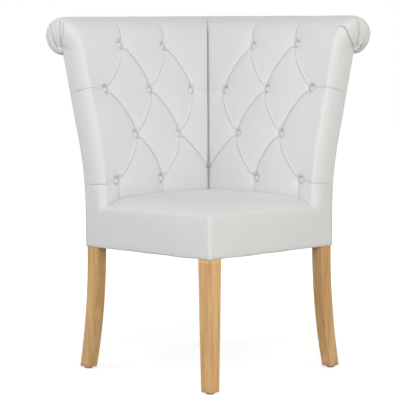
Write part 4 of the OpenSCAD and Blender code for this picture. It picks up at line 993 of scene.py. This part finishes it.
def seat_outline(step):
    """Outline of the seat from above, before the shift: front corner, left open side, ear, along
    the left wing, and its mirror image. Also how open each point is (1 on the apron)."""
    a = np.radians(np.linspace(45, 0, 5))
    corner = np.stack([HALF - CORNER_R * (1 - np.sin(a)), -HALF + CORNER_R * (1 - np.cos(a))], axis=-1)
    side_ = even_points([corner[-1], (-HALF + EAR_N, -HALF)], step)
    side_ = np.insert(side_, -1, (-HALF + EAR_N + 0.0003, -HALF), axis=0)
    b = END_R * (1 - np.cos(np.radians(np.linspace(0, 90, 9))))
    n = EAR_N + (SEAT_N - EAR_N) * np.sqrt(np.clip(1 - (1 - b / END_R) ** 2, 0, 1))
    ear = np.stack([-HALF + n, -HALF + b], axis=-1)
    wing = even_points([ear[-1], (-HALF + SEAT_N, HALF - SEAT_N)], step)
    half = np.concatenate([corner[:-1], side_, ear[1:], wing[1:]])
    open_ = np.zeros(len(half))
    open_[:len(corner) - 1 + len(side_)] = 1
    mirror = half[-2:0:-1][:, ::-1] * [-1, -1]
    return np.concatenate([half, mirror]), np.concatenate([open_, open_[-2:0:-1]])

def seat_z(p):
    """Height of the crowned surface: it rises from both open sides as 1 - exp(-d / run) and dips
    where the cloth is pulled down at the two ears."""
    d, e = p[..., 1] + HALF, HALF - p[..., 0]
    ear = np.minimum(np.hypot(p[..., 0] + HALF - EAR_N, d), np.hypot(HALF - EAR_N - p[..., 1], e))
    rise = (1 - np.exp(-np.maximum(0, d) / CROWN_RUN)) * (1 - np.exp(-np.maximum(0, e) / CROWN_RUN))
    return (EDGE_Z + SEAT_CROWN * rise - SEAT_DIP * np.exp(-ear / (1.5 * END_R))
            + CORNER_RISE * np.exp(-np.hypot(d, e) / CORNER_RUN))

print("middle of the seat at", round(float(seat_z(SEAT_MID)) * 1000, 1), "mm")

# %% [markdown]
# The cushion could be a box with a rounded edge, but rings round one outline are the easy way to
# keep the apron, the edge and the crown a single surface.

# %% Rings of the seat
FINE_STEP, COARSE_STEP = 0.0042, 0.0125

def ring_solid(rings, last_top, last_bottom=None):
    """Faces of rings of equal length joined in order, closed by fans to one or two points."""
    k = len(rings[0])
    pts = np.concatenate([np.concatenate(rings), [last_top], [last_bottom]])
    quads = grid_faces(len(rings), k, 0, wrap=True)
    low, high = np.arange(k), (len(rings) - 1) * k + np.arange(k)
    n = len(rings) * k
    tris = np.concatenate([np.stack([np.roll(low, -1), low, np.full(k, n + 1)], axis=-1),
                           np.stack([high, np.roll(high, -1), np.full(k, n)], axis=-1)])
    return pts, quads, tris

def seat_rings(step):
    """Rings of the seat from the underside of the foam, round the hem, up the apron and over the
    crown, as an array (ring, point, xyz), with cloth coordinates and the points held by tacks."""
    outline, open_ = seat_outline(step)
    shrink = lambda inset: SEAT_MID + (outline - SEAT_MID) * (1 - inset / SEAT_REACH)
    along = np.concatenate([[0], np.cumsum(np.linalg.norm(np.diff(outline, axis=0), axis=1))])
    bottom = np.where(open_ > 0, APRON_Z, FOAM_Z + 0.0002)
    ends = along[np.flatnonzero(np.diff(open_))]
    calm = open_ * smooth01(np.min([np.abs(along - e) for e in ends], axis=0) / 0.045)
    rings, uv, held = [], [], []
    def add(xy, z, u, v, fixed):
        rings.append(np.column_stack([xy, np.broadcast_to(z, len(outline))]))
        uv.append(np.column_stack([u, np.broadcast_to(v, len(outline))]))
        held.append(np.broadcast_to(fixed, len(outline)))
    for inset in (0.150, 0.090, 0.045, 0.020, HEM):
        add(shrink(inset), FOAM_Z, along, UNDER_V, True)
    add(shrink(HEM), bottom, along, bottom - EDGE_Z - 0.004, True)
    full = np.where(open_ > 0, 1, FLATTER)
    top0 = seat_z(outline) - SEAT_EDGE_R * full
    low = bottom + HEM_WAVE * np.sin(along * 31 + 1.3) * np.sin(along * 17) * calm
    face = np.where(np.arange(len(outline))[:, None] <= len(outline) // 2, [0.0, -1.0], [1.0, 0.0])
    for t in np.concatenate([np.linspace(0, 0.16, 9)[:-1], np.linspace(0.16, 1, 23)]):
        z = low + (top0 - low) * t
        bulge = calm * APRON_UNEVEN * np.sin(np.pi * t) * ripple(along, z, 5)
        add(shrink(0) + face * ((bulge - 0.0002 - hem_curl(z - low)) * open_)[:, None], z, along, z - EDGE_Z,
            (calm < 0.2) | (t < 0.12))
    for a in np.radians([15, 30, 45, 60, 75, 90]):
        p = shrink(SEAT_EDGE_R * (1 - math.cos(a)))
        drop = SEAT_EDGE_R * (1 - math.sin(a)) * full
        add(p, seat_z(p) - drop, along, top0 - EDGE_Z + SEAT_EDGE_R * a, calm < 0.2)
    for inset in np.linspace(SEAT_EDGE_R, SEAT_REACH - 0.004, 44)[1:]:
        p = shrink(inset)
        uneven = CROWN_UNEVEN * ripple(p[:, 0], p[:, 1], 8) * min(1, (inset - SEAT_EDGE_R) / 0.03)
        add(p, seat_z(p) + uneven, p[:, 0], p[:, 1], (calm < 0.2) & (inset < 0.022))
    tip = np.min([np.abs(along - e) for e in ends], axis=0) < 0.0075
    return np.array(rings), np.array(uv), np.array(held), along / along[-1], tip

print("seat rings:", seat_rings(COARSE_STEP)[0].shape[0])

# %% [markdown]
# How stuffing swells a cover that is tacked at its edge can't be read off a formula, so a coarse
# copy of the rings is simulated as cloth under pressure, and its moves are laid on the fine rings.

# %% Seat cushion
MOST_SWELL, LAST_FRAME = 0.0022, 20

def swelling():
    """How the stuffing pushes the tacked cover out: a coarse copy of the rings is run as Cloth
    under pressure with its tacked points pinned. The moves are scaled so that none is longer
    than MOST_SWELL, because this cover is stretched tight."""
    rings, _, held, share, _ = seat_rings(COARSE_STEP)
    pts, quads, tris = ring_solid(rings, (*SEAT_MID, float(seat_z(SEAT_MID))), (*SEAT_MID, FOAM_Z))
    trial = make_piece("seat_trial", pts, quads, tris)
    pins = trial.vertex_groups.new(name="tacks")
    fixed = np.append(held.ravel(), [False, True])
    pins.add(np.flatnonzero(fixed).tolist(), 1.0, "REPLACE")
    cloth = trial.modifiers.new("cover", "CLOTH")
    c = cloth.settings
    c.quality, c.mass, c.vertex_group_mass, c.pin_stiffness = 6, 0.3, "tacks", 1.0
    c.tension_stiffness = c.compression_stiffness = 60
    c.shear_stiffness, c.bending_stiffness, c.shrink_min = 25, 6, 0.0
    c.use_pressure, c.uniform_pressure_force = True, 2.0
    c.effector_weights.gravity = 0
    cloth.point_cache.frame_start, cloth.point_cache.frame_end = 1, LAST_FRAME
    scene = bpy.context.scene
    for frame_no in range(1, LAST_FRAME + 1):
        scene.frame_set(frame_no)
    shaped = trial.evaluated_get(bpy.context.evaluated_depsgraph_get()).to_mesh()
    now = np.empty(len(shaped.vertices) * 3, dtype=np.float32)
    shaped.vertices.foreach_get("co", now)
    scene.frame_set(1)
    bpy.data.objects.remove(trial, do_unlink=True)
    moved = now.reshape(-1, 3)[:rings.shape[0] * rings.shape[1]].reshape(rings.shape) - rings
    size = np.linalg.norm(moved, axis=-1, keepdims=True)
    print("trial cover swells by", round(float(size.max()) * 1000, 1), "mm at most,",
          round(float(size[~held].mean()) * 1000, 1), "mm on average")
    return moved * min(1, MOST_SWELL / float(size.max())), share

def seat_piece():
    """The fine rings, moved by the swelling of the coarse ones at the same share of the outline.
    The sharp tips at the two ears are shaded flat."""
    rings, uv, _, share, tip = seat_rings(FINE_STEP)
    swell, coarse = swelling()
    for k in range(len(rings)):
        for axis in range(3):
            rings[k, :, axis] += np.interp(share, coarse, swell[k, :, axis])
    mid = np.array([*SEAT_MID, rings[-1, :, 2].mean()])
    pts, quads, tris = ring_solid(rings, mid, (*SEAT_MID, FOAM_Z))
    pts += [SHIFT, -SHIFT, 0]
    smooth = np.append(np.tile(~tip, len(rings) - 1), np.ones(len(tris), bool))
    cloth = np.concatenate([uv.reshape(-1, 2), [SEAT_MID], [(0, UNDER_V)]])
    o = make_piece("seat_cushion", pts, quads, tris, cloth, smooth)
    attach(o, "root")
    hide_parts("seat_cover", "seat_topper", "seat_foam")
    o.data.materials.append(LINEN)

seat_piece()

# %% [markdown]
# The legs are solid oak with slightly eased edges. The front one is square and tapers on four
# sides; the side legs sweep outwards below the apron and run on upwards as the posts of the
# wings; the rear one sweeps both ways. Each is a stack of rounded outlines from foot to top.

# %% Shapes of the legs
LEG_W, LEG_D, FOOT_W, FOOT_D, SWEEP = 0.0345, 0.041, 0.031, 0.037, 0.039
FRONT_W, FRONT_FOOT, GLIDE_H, EASE = 0.0425, 0.0335, 0.005, 0.0016
LEG_FACE, POST_IN, PANEL_IN = FRAME_IN + LEG_D, FRAME_IN + LEG_W, FRAME_IN + POST_T
SHOULDER_Z, POST_LEVELS, CORNER_ARM = RAIL_TOP + 0.012, 24, 0.070

def swept(z, sweep):
    """How far a leg has curved outwards at the height z: a circle that touches the upright."""
    h = APRON_Z - GLIDE_H
    r = (h * h + sweep * sweep) / (2 * sweep)
    d = np.clip(APRON_Z - z, 0, h)
    return r - np.sqrt(r * r - d * d)

def post_x(n, z):
    """Outward place of the depth n inside the outer face at the height z."""
    l = np.linspace(-0.12, 0.62, 900)
    x, h = wing_pt(n, l)
    return float(np.interp(z, h, x))

def eased(corners, ease, per=5):
    """Rounds the corners of a polygon: a quadratic curve between points at the distance ease
    before and after each corner."""
    c = np.asarray(corners, float)
    before, after = np.roll(c, 1, axis=0) - c, np.roll(c, -1, axis=0) - c
    p0 = c + before * np.minimum(0.45, ease / np.linalg.norm(before, axis=1))[:, None]
    p2 = c + after * np.minimum(0.45, ease / np.linalg.norm(after, axis=1))[:, None]
    t = np.linspace(0, 1, per)[None, :, None]
    return ((1 - t) ** 2 * p0[:, None] + 2 * t * (1 - t) * c[:, None] + t * t * p2[:, None]).reshape(-1, 2)

def stack_piece(name, levels, replaced, corner):
    """A solid from (height, corners) levels; eased at the foot by a slightly smaller first ring."""
    rings = []
    def add(ring, z):
        rings.append(place(corner, ring[:, 0], ring[:, 1], np.full(len(ring), z)))
    for i, (z, corners) in enumerate(levels):
        ring = eased(corners, EASE)
        if i == 0:
            mid = ring.mean(axis=0)
            add(mid + (ring - mid) * (1 - EASE / np.abs(ring - mid).max()), z)
            z = z + EASE
        add(ring, z)
    pts, quads, tris = ring_solid(rings, rings[-1].mean(axis=0), rings[0].mean(axis=0))
    o = make_piece(name, pts, quads, tris)
    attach(o, "root")
    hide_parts(replaced)
    o.data.materials.append(OAK)

print("a leg's foot is swept out by", round(float(swept(GLIDE_H, SWEEP)) * 1000, 1), "mm")

# %% [markdown]
# A leg could be bent with a curve modifier; but an outline written for each height gives taper,
# sweep and lean at once, and the posts keep to the wings' own section.

# %% Legs
leg_heights = [*np.linspace(GLIDE_H, APRON_Z, 30), *np.linspace(APRON_Z, SHOULDER_Z, 5)[1:]]

def square_levels(outline):
    """The levels up to the shoulder: the outline for the inner and outer place of the swept leg
    and for how far the height has tapered it, from 0 at the apron to 1 at the foot."""
    levels = []
    for z in leg_heights:
        x0, x1 = -LEG_FACE + float(swept(z, SWEEP + LEG_D - FOOT_D)), -FRAME_IN + float(swept(z, SWEEP))
        levels.append((z, outline(x0, x1, max(0, (APRON_Z - z) / (APRON_Z - GLIDE_H)))))
    return levels

def side_leg_levels(top):
    """Swept outwards below the apron and tapered to the foot; above the shoulder a post that
    leans and flares with the wing."""
    def outline(x0, x1, t):
        w = t * (LEG_W - FOOT_W) / 2
        return [(x0, FRAME_IN + w), (x1, FRAME_IN + w), (x1, POST_IN - w), (x0, POST_IN - w)]
    return square_levels(outline) + [(z, outline(post_x(PANEL_IN, z), post_x(FRAME_IN, z), 0))
                                     for z in np.linspace(SHOULDER_Z, top, POST_LEVELS)]

def corner_leg_levels(top):
    """Square below the shoulder, L-shaped above it; the points of the L lie along the square's
    sides, so that every level has the same number of them."""
    def outline(x0, x1, t):
        m = (x0 + x1) / 2
        return [(x1, x1), (x0, x1), (x0, m), (x0, x0), (m, x0), (x1, x0)]
    levels = square_levels(outline)
    for z in np.linspace(SHOULDER_Z, top, POST_LEVELS):
        f, p, a = (post_x(n, z) for n in (FRAME_IN, PANEL_IN, CORNER_ARM))
        levels.append((z, [(f, f), (a, f), (a, p), (p, p), (p, a), (f, a)]))
    return levels

FRONT_INSIDE = 2 * CORNER_R - FRAME_IN + 0.0005

def front_leg_levels():
    """Tapered on all four sides. Inside the seat its outer edge is cut off further, to stay
    behind the apron's rounded corner."""
    levels = []
    for z in (z for z in leg_heights if z <= RAIL_TOP):
        d = max(0, (APRON_Z - z) / (APRON_Z - GLIDE_H)) * (FRONT_W - FRONT_FOOT) / 2
        lo, hi = FRAME_IN + d, FRAME_IN + FRONT_W - d
        for cut in ([lo + 0.0012] if z <= APRON_Z else []) + ([FRONT_INSIDE] if z >= APRON_Z else []):
            levels.append((z, [(lo, cut), (cut, lo), (hi, lo), (hi, hi), (lo, hi)]))
    return levels

post_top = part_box("left_leg")[1][2] - 0.004
corner_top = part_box("corner_leg")[1][2] - 0.008
stack_piece("left_oak_leg", side_leg_levels(post_top), "left_leg", "left")
stack_piece("right_oak_leg", side_leg_levels(post_top), "right_leg", "right")
stack_piece("corner_oak_leg", corner_leg_levels(corner_top), "corner_leg", "rear")
stack_piece("front_oak_leg", front_leg_levels(), "front_leg", "front")

# %% [markdown]
# Elastic webbing is interlaced over the rails: each strap goes over one crossing strap and under
# the next. A cosine gives the waves, and their crossings fall on its peaks.

# %% Webbing
STRAP_W, STRAP_T, STRAPS = 0.050, 0.0014, 4
STRAP_REACH = HALF - FRAME_IN - 0.008
STRAP_STEP = (2 * (HALF - POST_IN) - 0.010) / STRAPS
STRAP_WAVE, STRAP_SKIN = 0.00075, 0.00006
strap_at = (np.arange(STRAPS) - (STRAPS - 1) / 2) * STRAP_STEP

def webbing(name, across, replaced):
    """Four straps; their height is a cosine wave that passes over and under the crossing ones."""
    run = np.linspace(-STRAP_REACH, STRAP_REACH, 90)
    width = np.linspace(-STRAP_W / 2, STRAP_W / 2, 9)
    r, w = np.meshgrid(run, width, indexing="ij")
    points, quads = [], []
    for k, at in enumerate(strap_at):
        way = (1 if across else -1) * (-1) ** k
        wave = way * STRAP_WAVE * np.cos(math.pi * (run - strap_at[0]) / STRAP_STEP)
        lift = wave * (np.abs(run) < strap_at[-1] + STRAP_W / 2)
        for half_t in (STRAP_T / 2 - STRAP_SKIN, -STRAP_T / 2 + STRAP_SKIN):
            z = np.broadcast_to((RAIL_TOP + STRAP_T + 0.0001 + lift + half_t)[:, None], r.shape)
            points.append(np.stack([r, at + w, z] if across else [at + w, r, z], axis=-1).reshape(-1, 3))
        quads.append(shell_faces(*r.shape, k * 2 * r.size))
    uv = np.tile(np.stack([r, w], axis=-1).reshape(-1, 2), (2 * STRAPS, 1))
    o = make_piece(name, np.concatenate(points), np.concatenate(quads), None, uv)
    o.data.transform(Matrix.Translation((SHIFT, -SHIFT, 0)))
    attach(o, "root")
    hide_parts(replaced)
    o.data.materials.append(FINISHES["webbing"])

webbing("straps_across", True, "webbing_across")
webbing("straps_along", False, "webbing_along")

# %% [markdown]
# Black cloth closes the underside and sags by a millimetre or two between its tacks. So small a
# sag needs no cloth simulation: a formula gives it.

# %% Dust cloth
DUST_Z, DUST_T, DUST_SAG = APRON_Z + 0.0012, 0.0007, 0.0020

def dust_cloth():
    """A square with its corners cut out for the legs: rings that shrink towards the middle and
    sag by 1 - share ** 2, once for each side of the cloth."""
    e, c = HALF - FRAME_IN - 0.001, HALF - (FRAME_IN + FRONT_W + 0.001)
    line = []
    for ca, sa in ((1, 0), (0, 1), (-1, 0), (0, -1)):
        line += [(x * ca - y * sa, x * sa + y * ca) for x, y in ((c, -e), (c, -c), (e, -c))]
    outline = even_points(line + line[:1], 0.012)[:-1]
    rings = [np.column_stack([outline * share, np.full(len(outline), DUST_Z - DUST_SAG * (1 - share ** 2))])
             for share in (0.02, 0.25, 0.5, 0.7, 0.85, 0.95, 1.0)]
    top = [np.column_stack([r[:, :2], r[:, 2] + DUST_T]) for r in rings[::-1]]
    pts, quads, tris = ring_solid(rings + top, (0, 0, DUST_Z - DUST_SAG + DUST_T), (0, 0, DUST_Z - DUST_SAG))
    o = make_piece("underside_cloth", pts + [SHIFT, -SHIFT, 0], quads, tris)
    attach(o, "root")
    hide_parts("dust_cover")
    o.data.materials.append(FINISHES["dust_cloth"])

dust_cloth()
